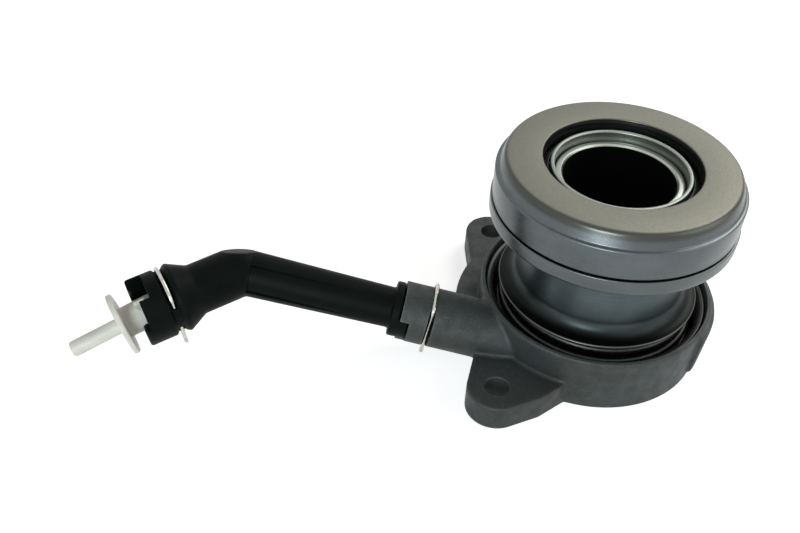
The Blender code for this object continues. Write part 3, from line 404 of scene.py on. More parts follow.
# %% [markdown]
# ### Cast aluminium
#
# The housing is a pressure die casting. Its skin is fine grained and dull, and old oil has
# darkened it in patches. One slow noise turns the grey to the oil's brown over centimetres, one
# drifts it over some millimetres, and the finest one also lifts the surface by a few hundredths of
# a millimetre. Inner corners are painted darker as painted shade, and outer edges are painted
# lighter, partly as rubbed wear and partly as a painted highlight. The Ambient Occlusion node finds
# both: outside the surface it darkens corners, and inside it, edges.

# %% Cast aluminium
CAST_COLOUR = (0.044, 0.053, 0.054)
OILED_COLOUR = (0.040, 0.043, 0.036)
CORNER_SHADE_COLOUR = (0.014, 0.016, 0.015)
EDGE_WEAR_AND_HIGHLIGHT_COLOUR = (0.13, 0.14, 0.135)
CORNER_SHADE_REACH = 3.5 * MM     # how far out of a corner the painted shade reaches
EDGE_WEAR_AND_HIGHLIGHT_REACH = 0.9 * MM      # how far in from an edge the rubbed wear and the painted highlight reach
cast_finish, tree, shader = new_finish("cast_aluminium", CAST_COLOUR, 0.6, 0.5)
slow = noise(tree, 55.0, 5.0)
patchy = noise(tree, 260.0, 4.0)
fine = noise(tree, 1300.0, 3.0)
clouded = mixed(tree, between(tree, slow, 0.0, 1.0), OILED_COLOUR, scaled(CAST_COLOUR, 1.15))
mottled = mixed(tree, between(tree, patchy, 0.0, 0.45), clouded, scaled(CAST_COLOUR, 0.55))
grain = between(tree, fine, 0.0, 0.5, 0.55, 0.75)
speckled = mixed(tree, grain, mottled, scaled(CAST_COLOUR, 1.9))
# painted shade: inner corners are darkened towards the shade colour
painted_corner_shade = between(tree, nearness(tree, CORNER_SHADE_REACH), 1.0, 0.0, 0.45, 0.92)
with_corner_shade = mixed(tree, painted_corner_shade, speckled, CORNER_SHADE_COLOUR)
# edges painted lighter: rubbed wear, and a painted highlight along them
edges = between(tree, nearness(tree, EDGE_WEAR_AND_HIGHLIGHT_REACH, inside=True), 0.9, 0.0, 0.45, 0.85)
edge_wear_and_highlight = maths(tree, "MULTIPLY", edges, between(tree, patchy, 0.15, 1.0))
coat(tree, shader, mixed(tree, edge_wear_and_highlight, with_corner_shade, EDGE_WEAR_AND_HIGHLIGHT_COLOUR), between(tree, patchy, 0.5, 0.68))
bump(tree, shader, fine, 0.06 * MM)
print("cast aluminium:", len(tree.nodes), "nodes")

# %% [markdown]
# ### Turned and ground steel
#
# The bearing's rings are turned, and their pressure face is ground. Marks from both run round the
# axis, so the noise reads radius and height in place of the plain coordinates: every point of a
# circle gets the same value, and the marks close on themselves. A plain noise adds faint brown
# stains, and the height tells the ground face from the shoulder that runs down from it. That round
# shoulder is painted darker, as painted shade.

# %% Turned steel


def turned_steel(name, colour, roughness, marks, depth, drift):
    """Steel with a lathe's marks, given per metre, their depth, and how far its colour drifts."""
    made, tree, shader = new_finish(name, colour, roughness, 1.0)
    lathe, radius, height = turned_coordinates(tree)
    rings = noise(tree, marks, 2.0, lathe)
    cloud = shade(tree, noise(tree, 60.0, 4.0), colour, 1.0 - drift, 1.0 + drift)
    lined = mixed(tree, between(tree, rings, 0.0, 0.35), cloud, scaled(colour, 0.7))
    coat(tree, shader, lined, between(tree, rings, roughness - 0.05, roughness + 0.07))
    bump(tree, shader, rings, depth)
    return made, tree, shader, radius, height


# %% Bearing steel
FACE_COLOUR = (0.165, 0.165, 0.138)
SIDE_COLOUR = (0.112, 0.127, 0.133)
STAIN_COLOUR = (0.085, 0.078, 0.058)
# painted shade on the round shoulder, between the two shoulder heights below
SHOULDER_SHADE_COLOUR = (0.070, 0.074, 0.068)
FACE_DULLER = 0.22         # added to the roughness where the face is ground
GROUND_FROM = face_height - 0.25 * MM
GROUND_FULL = face_height - 0.05 * MM
SHOULDER_SHADE_FROM = face_height - 2.6 * MM
SHOULDER_SHADE_FULL = face_height - 1.7 * MM

ring_finish, tree, shader, radius, height = turned_steel(
    "bearing_steel", SIDE_COLOUR, 0.29, 3600.0, 0.003 * MM, 0.12)
on_face = between(tree, height, 0.0, 1.0, GROUND_FROM, GROUND_FULL)
ground = shade(tree, noise(tree, 2600.0, 2.0), FACE_COLOUR, 0.9, 1.1)
stains = between(tree, noise(tree, 330.0, 5.0), 0.0, 0.3, 0.5, 0.68)
stained = mixed(tree, stains, fed_from(shader, "Base Color"), STAIN_COLOUR)
# painted shade: the shoulder under the face is darkened by height
shoulder_shade = between(tree, height, 0.0, 1.0, SHOULDER_SHADE_FROM, SHOULDER_SHADE_FULL)
sides_with_shoulder_shade = mixed(tree, shoulder_shade, stained, SHOULDER_SHADE_COLOUR)
duller = maths(tree, "MULTIPLY_ADD", on_face, FACE_DULLER, fed_from(shader, "Roughness"))
coat(tree, shader, mixed(tree, on_face, sides_with_shoulder_shade, ground), duller)
print("ground face above", round(GROUND_FROM / MM, 2), "mm")

# %% Plate, sleeve and inner ring
plate_finish = turned_steel(
    "plate_steel", (0.110, 0.122, 0.124), 0.3, 2600.0, 0.006 * MM, 0.12)[0]
sleeve_finish = turned_steel(
    "sleeve_steel", (0.255, 0.275, 0.25), 0.36, 2600.0, 0.006 * MM, 0.1)[0]
inner_finish = turned_steel(
    "hidden_steel", (0.42, 0.42, 0.41), 0.25, 2600.0, 0.004 * MM, 0.08)[0]
print("finishes so far:", [item.name for item in bpy.data.materials])

# %% [markdown]
# The shroud's sheet is phosphated. Its flared foot is painted near black, as painted shade for the
# dark that it faces and reflects under the bearing. The height gives the place where the painted
# shade begins, and a slow noise makes its edge uneven. The rolled lip gets a thin painted highlight,
# and that is told by the radius.

# %% Shroud's finish
FOOT_SHADE_COLOUR = (0.010, 0.012, 0.011)
LIP_HIGHLIGHT_COLOUR = (0.09, 0.095, 0.088)
FOOT_SHADE_FULL = 22.4 * MM     # heights between which the painted shade on the foot fades out
FOOT_SHADE_GONE = 27.0 * MM
FOOT_SHADE_WANDER = 2.0 * MM     # how far the painted shade's edge wanders
shroud_finish, tree, shader, radius, height = turned_steel(
    "shroud_steel", (0.080, 0.101, 0.107), 0.36, 1500.0, 0.008 * MM, 0.25)
uneven = maths(tree, "MULTIPLY_ADD", noise(tree, 45.0, 3.0), FOOT_SHADE_WANDER, height)
above_foot_shade = between(tree, uneven, 0.0, 1.0, FOOT_SHADE_FULL, FOOT_SHADE_GONE)
# painted shade: the flared foot is darkened below a height
with_foot_shade = mixed(tree, above_foot_shade, FOOT_SHADE_COLOUR, fed_from(shader, "Base Color"))
# painted highlight: a thin bright line on the rolled lip, found by radius
lip_highlight = between(tree, radius, 0.0, 1.0, SHROUD_LIP - 0.45 * MM, SHROUD_LIP - 0.1 * MM)
coat(tree, shader, mixed(tree, lip_highlight, with_foot_shade, LIP_HIGHLIGHT_COLOUR))
# the printed heights bound the painted shade on the foot
print("foot black below %.1f mm, clean above %.1f mm" % (FOOT_SHADE_FULL / MM, FOOT_SHADE_GONE / MM))

# %% [markdown]
# The guide tube is bright on its rolled end, and its bore is near black. The same radius that draws
# the lathe's marks tells the two apart: inside the bore's radius the finish goes dark and dull.

# %% Guide tube's finish
TUBE_COLOUR = (0.37, 0.39, 0.35)
BORE_COLOUR = (0.003, 0.004, 0.003)
tube_finish, tree, shader, radius, height = turned_steel(
    "tube_steel", TUBE_COLOUR, 0.3, 2600.0, 0.006 * MM, 0.1)
outside_bore = between(tree, radius, 0.0, 1.0, TUBE_BORE + 0.15 * MM, TUBE_BORE + 0.3 * MM)
two_tone = mixed(tree, outside_bore, BORE_COLOUR, fed_from(shader, "Base Color"))
coat(tree, shader, two_tone, between(tree, outside_bore, 0.75, 0.3, 0.0, 1.0))
print("bore goes dark inside radius %.2f mm" % (TUBE_BORE / MM))

# %% [markdown]
# ### Plastics, rubber and wire
#
# The pipe is glass-filled nylon, near black and slightly green, with a matt skin from the mould that
# has hardly any sheen, so its specular level is low. The transport plug is unfilled polyethylene,
# milky because light goes a little way into it, so it gets some subsurface scattering. The clips are
# bright spring wire, and the seals are black rubber.

# %% Pipe, plug and rubber
PIPE_COLOUR = (0.0024, 0.0042, 0.0036)
pipe_finish, tree, shader = new_finish("pipe_plastic", PIPE_COLOUR, 0.48, 0.0)
shader.inputs["Specular IOR Level"].default_value = 0.055
slow = noise(tree, 130.0, 4.0)
coat(tree, shader, shade(tree, slow, PIPE_COLOUR, 0.75, 1.35), between(tree, slow, 0.4, 0.56))
bump(tree, shader, noise(tree, 1500.0, 3.0), 0.04 * MM)

PLUG_COLOUR = (0.76, 0.74, 0.66)
plug_finish, tree, shader = new_finish("plug_plastic", PLUG_COLOUR, 0.38, 0.0)
shader.inputs["Subsurface Weight"].default_value = 0.35
shader.inputs["Subsurface Radius"].default_value = (1.0, 1.0, 0.85)
shader.inputs["Subsurface Scale"].default_value = 1.6 * MM
cloud = noise(tree, 260.0, 3.0)
coat(tree, shader, shade(tree, cloud, PLUG_COLOUR, 0.95, 1.04))
bump(tree, shader, cloud, 0.05 * MM)

RUBBER_COLOUR = (0.008, 0.009, 0.008)
rubber_finish, tree, shader = new_finish("seal_rubber", RUBBER_COLOUR, 0.42, 0.0)
cloud = noise(tree, 400.0, 3.0)
coat(tree, shader, shade(tree, cloud, RUBBER_COLOUR, 0.8, 1.6))
bump(tree, shader, cloud, 0.03 * MM)

# %% Wire and inner plastics


def wire_steel(name, colour, roughness):
    """Drawn or polished steel, with its roughness a little uneven."""
    made, tree, shader = new_finish(name, colour, roughness, 1.0)
    drawn = noise(tree, 900.0, 3.0)
    coat(tree, shader, shade(tree, drawn, colour, 0.8, 1.1),
         between(tree, drawn, roughness - 0.06, roughness + 0.1))
    bump(tree, shader, drawn, 0.01 * MM)
    return made


def moulded_plastic(name, colour, roughness):
    """Plain nylon, slightly clouded, with the fine grain that its mould left."""
    made, tree, shader = new_finish(name, colour, roughness, 0.0)
    cloud = noise(tree, 220.0, 4.0)
    coat(tree, shader, shade(tree, cloud, colour, 0.85, 1.12),
         between(tree, cloud, roughness - 0.06, roughness + 0.08))
    bump(tree, shader, noise(tree, 1500.0, 3.0), 0.03 * MM)
    return made


clip_finish = wire_steel("wire_steel", (0.55, 0.55, 0.50), 0.2)
spring_finish = wire_steel("spring_steel", (0.05, 0.05, 0.048), 0.38)
ball_finish = wire_steel("ball_steel", (0.66, 0.66, 0.66), 0.08)
piston_finish = moulded_plastic("piston_plastic", (0.055, 0.050, 0.042), 0.45)
cage_finish = moulded_plastic("cage_plastic", (0.30, 0.20, 0.085), 0.4)
print("finishes made:", len(bpy.data.materials))

# %% [markdown]
# ## Turned pieces
#
# A turned piece is one closed outline spun round the axis. On a lathe every corner is broken, so
# the outline is written as corners with a radius each, and a helper replaces each corner by a small
# arc. The highlight that such an edge catches is what makes a turned part look real.

# %% Helpers for turned pieces
MOST_OF_A_SIDE = 0.48      # a corner's arc never takes more of either side than this
ON_AXIS = 1e-7             # a radius under this is a point on the axis


def linked(name, mesh):
    made = bpy.data.objects.new(name, mesh)
    bpy.context.scene.collection.objects.link(made)
    return made


def built(name, work, place=Matrix.Identity(4)):
    """The object of a closed bmesh, with its faces outwards and its place in its mesh."""
    bmesh.ops.recalc_face_normals(work, faces=work.faces)
    bmesh.ops.transform(work, matrix=place, verts=work.verts)
    mesh = bpy.data.meshes.new(name)
    work.to_mesh(mesh)
    work.free()
    return linked(name, mesh)


def rounded(corners, steps=5):
    """Replaces the corners of a closed outline, given as (radius, height, fillet), by arcs."""
    outline = []
    count = len(corners)
    for i, (x, y, fillet) in enumerate(corners):
        here = Vector((x, y))
        before = Vector(corners[i - 1][:2]) - here
        after = Vector(corners[(i + 1) % count][:2]) - here
        if fillet <= 0.0:
            outline.append(here)
            continue
        half = before.angle(after) / 2.0
        reach = min(fillet / math.tan(half), MOST_OF_A_SIDE * before.length,
                    MOST_OF_A_SIDE * after.length)
        size = reach * math.tan(half)
        inwards = (before.normalized() + after.normalized()).normalized()
        centre = here + inwards * (size / math.sin(half))
        start = here + before.normalized() * reach - centre
        swing = start.angle_signed(here + after.normalized() * reach - centre)
        for j in range(steps + 1):
            turn = -swing * j / steps
            outline.append(centre + Vector((start.x * math.cos(turn) - start.y * math.sin(turn),
                                            start.x * math.sin(turn) + start.y * math.cos(turn))))
    return outline


def spun(name, outline, place=Matrix.Identity(4), steps=RING_TURNS, closed=True):
    """Spins an outline of (radius, height) points round Z, and closes it on the axis if it is open."""
    work = bmesh.new()
    turns = [2.0 * math.pi * i / steps for i in range(steps)]
    rows = []
    for r, z in outline:
        if r < ON_AXIS:
            rows.append([work.verts.new((0.0, 0.0, z))])
            continue
        rows.append([work.verts.new((r * math.cos(turn), r * math.sin(turn), z)) for turn in turns])
    pairs = list(zip(rows, rows[1:] + rows[:1])) if closed else list(zip(rows, rows[1:]))
    for upper, lower in pairs:
        for i in range(steps):
            j = (i + 1) % steps
            corners = [upper[i % len(upper)], upper[j % len(upper)],
                       lower[j % len(lower)], lower[i % len(lower)]]
            face = list(dict.fromkeys(corners))
            if len(face) > 2:
                work.faces.new(face)
    return built(name, work, place)


def dressed(piece, finish, body, *nodes, slot=None, edge=28.0):
    """Gives a finished piece its material, its body and the nodes that it stands for."""
    piece.data.materials.clear()
    piece.data.materials.append(finish)
    piece.data.shade_smooth()
    piece.data.set_sharp_from_angle(angle=math.radians(edge))
    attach(piece, body)
    if nodes:
        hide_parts(*nodes)
    print("%-18s %6d faces on %s" % (piece.name, len(piece.data.polygons), body))
    return piece


# %% [markdown]
# ### The pressure ring
#
# The clutch's fingers press on this ring's flat face. Below the face the side falls over a round
# shoulder into a shallow turned step, and then runs straight down to the gap over the lower band.

# %% Pressure ring
FACE_THICK = 4.3 * MM
SKIRT_WALL = 2.65 * MM
pressure_ring = spun("pressure_ring", rounded([
    # the ground face and the shoulder
    (FACE_INNER, face_height, 0.45 * MM),
    (FACE_OUTER + 1.4 * MM, face_height, 1.7 * MM),
    # the turned step and the straight side
    (ring_radius - 1.05 * MM, face_height - 4.4 * MM, 0.5 * MM),
    (ring_radius, face_height - 4.55 * MM, 0.45 * MM),
    (ring_radius, ring_foot, 0.4 * MM),
    # the inside of the skirt, the balls' raceway and the underside of the face
    (ring_radius - SKIRT_WALL, ring_foot, 0.3 * MM),
    (ring_radius - SKIRT_WALL, ring_foot + 4.3 * MM, 0.3 * MM),
    (ring_radius - 3.6 * MM, ring_foot + 4.6 * MM, 0.0),
    (ring_radius - 4.2 * MM, ring_foot + 7.0 * MM, 1.2 * MM),
    (ring_radius - 6.4 * MM, ring_foot + 8.4 * MM, 0.0),
    (ring_radius - 8.6 * MM, face_height - FACE_THICK, 0.3 * MM),
    (FACE_INNER, face_height - FACE_THICK, 0.2 * MM)]))
dressed(pressure_ring, ring_finish, "outer_ring", "outer_ring", slot="bearing_steel")

# %% [markdown]
# ### The lower band, sleeve, tube and seal
#
# A pressed cup closes the bearing from below, and its rim is the lower bright band. The sleeve runs
# up through the bearing, the guide tube's rolled end stands a little lower inside it, and a black
# seal fills the ring between the sleeve and the pressure ring.

# %% Lower band
BAND_WALL = 1.1 * MM
PLATE_THICK = 1.0 * MM
lower_band = spun("lower_band", rounded([
    (band_radius, band_top, 0.3 * MM),
    (band_radius, plate_foot, 1.1 * MM),
    (SLEEVE_BORE, plate_foot, 0.2 * MM),
    (SLEEVE_BORE, plate_foot + PLATE_THICK, 0.2 * MM),
    (band_radius - BAND_WALL, plate_foot + PLATE_THICK, 0.3 * MM),
    (band_radius - BAND_WALL, band_top, 0.3 * MM)]))
dressed(lower_band, plate_finish, "piston", "bearing_plate", slot="bearing_steel")

# %% Sleeve
FLANGE_WALL = 1.0 * MM
sleeve_foot = foot_of("bearing_sleeve")
sleeve_flange = radius_of("bearing_sleeve")
sleeve = spun("sleeve", rounded([
    (SLEEVE_RADIUS, sleeve_top, 0.4 * MM),
    (SLEEVE_RADIUS, sleeve_foot + FLANGE_WALL, 0.3 * MM),
    (sleeve_flange, sleeve_foot + FLANGE_WALL, 0.3 * MM),
    (sleeve_flange, sleeve_foot, 0.3 * MM),
    (SLEEVE_BORE, sleeve_foot, 0.3 * MM),
    (SLEEVE_BORE, sleeve_top, 0.45 * MM)]))
dressed(sleeve, sleeve_finish, "piston", "bearing_sleeve", slot="tube_steel")

# %% Guide tube and face seal
BEAD_HEIGHT = 2.0 * MM
TUBE_FLANGE = 1.5 * MM     # thickness of the flange at the tube's foot
SEAL_GAP = 0.25 * MM       # between the seal and the sleeve inside it
tube_foot = foot_of("guide_tube")
tube_flange = radius_of("guide_tube")
tube = spun("tube", rounded([
    (TUBE_BEAD, tube_top, 0.9 * MM),
    (TUBE_BEAD, tube_top - BEAD_HEIGHT, 0.4 * MM),
    (TUBE_OUTER, tube_top - BEAD_HEIGHT, 0.2 * MM),
    (TUBE_OUTER, tube_foot + TUBE_FLANGE, 0.2 * MM),
    (tube_flange, tube_foot + TUBE_FLANGE, 0.2 * MM),
    (tube_flange, tube_foot, 0.2 * MM),
    (TUBE_BORE, tube_foot, 0.2 * MM),
    (TUBE_BORE, tube_top - 0.9 * MM, 0.3 * MM),
    (TUBE_BORE + 0.6 * MM, tube_top, 0.2 * MM)]))
dressed(tube, tube_finish, "housing", "guide_tube", slot="tube_steel")

seal_foot = foot_of("face_seal")
seal_top = top_of("face_seal")
seal_radius = radius_of("face_seal")
bearing_seal = spun("bearing_seal", rounded([
    (seal_radius - 0.5 * MM, seal_top - 0.9 * MM, 0.3 * MM),
    (seal_radius, seal_top - 1.3 * MM, 0.3 * MM),
    (seal_radius, seal_foot + 0.5 * MM, 0.3 * MM),
    (seal_radius - 0.6 * MM, seal_foot, 0.2 * MM),
    (SLEEVE_RADIUS + SEAL_GAP, seal_foot, 0.2 * MM),
    (SLEEVE_RADIUS + SEAL_GAP, seal_top, 0.25 * MM)]))
dressed(bearing_seal, rubber_finish, "piston", "face_seal", slot="seal_rubber")

# %% [markdown]
# ### The shroud
#
# A pressed sleeve of dark sheet hangs under the bearing and slides over the cylinder. At its foot
# it flares into a rolled lip. Its outline follows the sheet on both sides: two arcs with the same
# centre, one wall apart, stay parallel as the real sheet does.

# %% Shroud


def arc(centre, radius, start, end, count):
    """Points on a circle in an outline, from one angle in degrees to another."""
    turns = [math.radians(start + (end - start) * i / count) for i in range(count + 1)]
    return [Vector((centre[0] + radius * math.cos(turn), centre[1] + radius * math.sin(turn)))
            for turn in turns]


SHROUD_FLARE = 4.2 * MM
SHROUD_CURVE = 1.6 * MM
SHROUD_FLANGE = 32.6 * MM
LIP_ROLL = 0.48 * MM
flare_centre = (SHROUD_NECK + SHROUD_FLARE, SHROUD_FOOT + SHROUD_FLARE)
curve_centre = (SHROUD_NECK + SHROUD_CURVE, shroud_top - SHROUD_WALL - SHROUD_CURVE)
sheet = [Vector((SHROUD_FLANGE, shroud_top)), Vector((SHROUD_FLANGE, shroud_top - SHROUD_WALL))]
sheet += arc(curve_centre, SHROUD_CURVE, 90.0, 180.0, 10)
sheet += arc(flare_centre, SHROUD_FLARE, 180.0, 270.0, 18)
sheet += arc((SHROUD_LIP - LIP_ROLL, SHROUD_FOOT - SHROUD_WALL / 2.0), LIP_ROLL, 70.0, -70.0, 8)
sheet += arc(flare_centre, SHROUD_FLARE + SHROUD_WALL, 270.0, 180.0, 18)
sheet += arc(curve_centre, SHROUD_CURVE + SHROUD_WALL, 180.0, 90.0, 10)
shroud = spun("neck_shroud", sheet)
dressed(shroud, shroud_finish, "piston", "shroud", slot="shroud_steel")

# %% [markdown]
# ### Dust seal and spring
#
# The rim of the housing holds a rubber ring whose lip looks at the shroud. Under the shroud's lip a
# conical spring pushes the bearing outwards. It telescopes: each turn is a little narrower than the
# one below, so it can flatten. Geometry Nodes draw it, because a coil is one curve with a rule.

# %% Dust seal
dust_foot = foot_of("dust_seal")
dust_top = top_of("dust_seal")
dust_radius = radius_of("dust_seal")
DUST_LIP = 31.1 * MM
dust_ring = spun("dust_ring", rounded([
    (dust_radius, dust_top, 0.5 * MM),
    (dust_radius, dust_foot, 0.2 * MM),
    (POCKET_RADIUS, dust_foot, 0.2 * MM),
    (DUST_LIP, dust_foot + 1.2 * MM, 0.2 * MM),
    (DUST_LIP, dust_foot + 1.9 * MM, 0.3 * MM),
    (dust_radius - 1.3 * MM, dust_top - 0.5 * MM, 0.4 * MM)]))
dressed(dust_ring, rubber_finish, "housing", "dust_seal", slot="seal_rubber")

# %% Helpers for Geometry Nodes
WIRE_SIDES = 16            # facets round a wire


def node_group(name, sockets):
    """An empty Geometry Nodes tree with named inputs, and its input and output nodes."""
    group = bpy.data.node_groups.new(name, "GeometryNodeTree")
    group.interface.new_socket("Geometry", in_out="OUTPUT", socket_type="NodeSocketGeometry")
    for label, kind, value in sockets:
        socket = group.interface.new_socket(label, in_out="INPUT", socket_type=kind)
        if value is not None:
            socket.default_value = value
    return group, group.nodes.new("NodeGroupInput"), group.nodes.new("NodeGroupOutput")


def settled(piece):
    """The plain mesh of what an object evaluates to, in place of the object."""
    graph = bpy.context.evaluated_depsgraph_get()
    mesh = bpy.data.meshes.new_from_object(piece.evaluated_get(graph))
    mesh.transform(piece.matrix_world)
    name = piece.name
    bpy.data.objects.remove(piece, do_unlink=True)
    return linked(name, mesh)


def run_nodes(name, group, values):
    """Runs a tree on an empty mesh with its inputs set by identifier, and keeps the plain mesh."""
    host = linked(name, bpy.data.meshes.new(name))
    step = host.modifiers.new("nodes", "NODES")
    step.node_group = group
    for item in group.interface.items_tree:
        if item.item_type == "SOCKET" and item.in_out == "INPUT" and item.name in values:
            step[item.identifier] = values[item.name]
    return settled(host)


def swept_wire(group, given, route):
    """Sweeps a round section, with the input Wire as its radius, along a curve."""
    section = group.nodes.new("GeometryNodeCurvePrimitiveCircle")
    section.inputs["Resolution"].default_value = WIRE_SIDES
    group.links.new(given.outputs["Wire"], section.inputs["Radius"])
    swept = group.nodes.new("GeometryNodeCurveToMesh")
    swept.inputs["Fill Caps"].default_value = True
    group.links.new(route, swept.inputs["Curve"])
    group.links.new(section.outputs["Curve"], swept.inputs["Profile Curve"])
    return swept.outputs["Mesh"]


def finish_tree(group, given, result, mesh):
    """Ends a tree in Realize Instances and Set Material."""
    real = group.nodes.new("GeometryNodeRealizeInstances")
    group.links.new(mesh, real.inputs["Geometry"])
    paint = group.nodes.new("GeometryNodeSetMaterial")
    group.links.new(real.outputs["Geometry"], paint.inputs["Geometry"])
    group.links.new(given.outputs["Finish"], paint.inputs["Material"])
    group.links.new(paint.outputs["Geometry"], result.inputs["Geometry"])


# %% Conical spring with Geometry Nodes
SPRING_WIRE = 1.1 * MM
SPRING_TURNS = 3.5
SPRING_LOW = 30.2 * MM     # radius of the turn at its foot, and of the one at its head
SPRING_HIGH = 27.6 * MM
TURN_STEPS = 64            # points along each turn

coil, given, result = node_group("conical_coil", [
    ("Turns", "NodeSocketFloat", 3.5), ("Low Radius", "NodeSocketFloat", 0.03),
    ("High Radius", "NodeSocketFloat", 0.027), ("Height", "NodeSocketFloat", 0.013),
    ("Wire", "NodeSocketFloat", 0.001), ("Foot", "NodeSocketFloat", 0.005),
    ("Finish", "NodeSocketMaterial", None)])
spiral = coil.nodes.new("GeometryNodeCurveSpiral")
spiral.inputs["Resolution"].default_value = TURN_STEPS
for label, socket in (("Turns", "Rotations"), ("Low Radius", "Start Radius"),
                      ("High Radius", "End Radius"), ("Height", "Height")):
    coil.links.new(given.outputs[label], spiral.inputs[socket])
lift = coil.nodes.new("ShaderNodeCombineXYZ")
coil.links.new(given.outputs["Foot"], lift.inputs["Z"])
seat = coil.nodes.new("GeometryNodeTransform")
coil.links.new(lift.outputs[0], seat.inputs["Translation"])
coil.links.new(swept_wire(coil, given, spiral.outputs["Curve"]), seat.inputs["Geometry"])
finish_tree(coil, given, result, seat.outputs["Geometry"])

spring_foot = foot_of("preload_spring")
spring_top = top_of("preload_spring")
coil_spring = run_nodes("coil_spring", coil, {
    "Turns": SPRING_TURNS, "Low Radius": SPRING_LOW, "High Radius": SPRING_HIGH, "Wire": SPRING_WIRE,
    "Height": spring_top - spring_foot - 2.0 * SPRING_WIRE, "Foot": spring_foot + SPRING_WIRE,
    "Finish": spring_finish})
print("spring from", round(spring_foot / MM, 1), "to", round(spring_top / MM, 1), "mm")

# %% [markdown]
# The spring stands on the housing and carries the piston, so it stretches between two bodies. Here
# it is smoothed, gets its finish and keeps its place in its mesh, and its solid is hidden.

# %% Finish the spring
coil_spring.data.shade_smooth()
coil_spring.data.materials.clear()
coil_spring.data.materials.append(spring_finish)
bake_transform(coil_spring)
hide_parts("preload_spring")

# %% [markdown]
# ## The cast housing
#
# A casting is made soft first and sharp afterwards: the mould gives round edges and fillets, and
# then the machine tool cuts the bores and faces. The same order works here. The rough shapes are
# joined, a voxel remesh and a few smoothing passes melt their corners together, and crisp turned
# cutters then machine the pocket, the bores, the bolt holes and the base.

# %% Helpers for cast pieces
CAST_STEPS = 4             # points along a rounded corner of a cast or cut shape
WELL_PAST = 0.1            # metres, further than the casting reaches on any side


def axis_frame(origin, turn, rise):
    """Frame with Z along a direction given in degrees from -X, X towards the near side and Y up."""
    plan = math.radians(turn)
    tilt = math.radians(rise)
    along = Vector((-math.cos(tilt) * math.cos(plan), math.cos(tilt) * math.sin(plan), math.sin(tilt)))
    near = Vector((-along.y, along.x, 0.0)).normalized()
    up = along.cross(near)
    return Matrix.Translation(origin) @ Matrix((near, up, along)).transposed().to_4x4()


arm = axis_frame(ARM_POINT, ARM_TURN, ARM_RISE)
elbow = arm @ Vector((0.0, 0.0, ELBOW_AT))
leg = axis_frame(elbow, -LEG_TURN, -LEG_DROP)


def on_axis(corners):
    """An outline that starts and ends on the axis, with its other corners rounded."""
    closed = [(0.0, corners[0][1], 0.0)] + corners + [(0.0, corners[-1][1], 0.0)]
    return rounded(closed, CAST_STEPS)


def rod(name, radius, low, high, place=Matrix.Identity(4), steps=64):
    return spun(name, on_axis([(radius, high, 0.0), (radius, low, 0.0)]), place, steps)


def slab(name, outline, low, high):
    """A flat outline between two heights."""
    work = bmesh.new()
    face = work.faces.new([work.verts.new((point[0], point[1], low)) for point in outline])
    raised = bmesh.ops.extrude_face_region(work, geom=[face])
    bmesh.ops.translate(work, vec=(0.0, 0.0, high - low),
                        verts=[item for item in raised["geom"] if isinstance(item, bmesh.types.BMVert)])
    return built(name, work)


def block(name, low, high, place=Matrix.Identity(4)):
    """A box between two corners, in the frame given."""
    work = bmesh.new()
    size = Matrix.Diagonal((*(b - a for a, b in zip(low, high)), 1.0))
    centre = Matrix.Translation([(a + b) / 2.0 for a, b in zip(low, high)])
    bmesh.ops.create_cube(work, size=1.0, matrix=place @ centre @ size)
    return built(name, work)


def combined(piece, others, operation, solver="MANIFOLD"):
    """Joins or cuts a piece with others, one after another, and removes them."""
    for other in others:
        step = piece.modifiers.new("combine", "BOOLEAN")
        step.operation = operation
        step.solver = solver
        step.object = other
    piece = settled(piece)
    for other in others:
        bpy.data.objects.remove(other, do_unlink=True)
    return piece


def melted(piece, voxel, passes, keep=1.0):
    """Remeshes a rough union and smooths it, so that its corners become small fillets."""
    step = piece.modifiers.new("remesh", "REMESH")
    step.mode = "VOXEL"
    step.voxel_size = voxel
    soften = piece.modifiers.new("soften", "SMOOTH")
    soften.factor = 0.5
    soften.iterations = passes
    if keep < 1.0:
        thin = piece.modifiers.new("thin", "DECIMATE")
        thin.ratio = keep
    return settled(piece)


print("arm points to", [round(value, 3) for value in arm.to_3x3() @ Vector((0.0, 0.0, 1.0))])

# %% [markdown]
# Seen from above, two lugs and the web between them are one flat outline, and the third lug is
# another. Each lug ends in a part of a circle round its hole, and the straight sides that run into
# it are tangents, so the outline has no kink there.

# %% Lug outlines
LUG_STEPS = 24


def polar(radius, degrees):
    turn = math.radians(degrees)
    return Vector((radius * math.cos(turn), radius * math.sin(turn)))


def tangent_angle(point, centre, side):
    """Angle, seen from a lug's centre, of the tangent from a point outside it."""
    reach = point - centre
    opening = math.acos(min(1.0, LUG_RADIUS / reach.length))
    return math.degrees(math.atan2(reach.y, reach.x) + side * opening)


def lug_end(angle, before, after):
    """The round end of a lug, between the tangents from the points before and after it."""
    centre = polar(BOLT_CIRCLE, angle)
    start = tangent_angle(before, centre, 1.0)
    end = tangent_angle(after, centre, -1.0)
    while end < start:
        end += 360.0
    return [centre + polar(LUG_RADIUS, start + (end - start) * i / LUG_STEPS)
            for i in range(LUG_STEPS + 1)]


ROOT = 0.97 * BASE_RADIUS  # where a lug's side runs into the wall
NEAR_ROOT = 25.0           # degrees from a lug beside the arm to where its edge meets the wall
FAR_ROOT = 27.0
HIP_RADIUS = BASE_RADIUS + 8.9 * MM
HIP_ANGLE = 16.0
WEB_RADIUS = BASE_RADIUS + 8.15 * MM
WEB_START = 152.0          # degrees round the axis
WEB_SPAN = 50.0
WEB_STEPS = 24
NOTCH_RADIUS = BASE_RADIUS + 5.6 * MM
NOTCH_ANGLE = 206.5

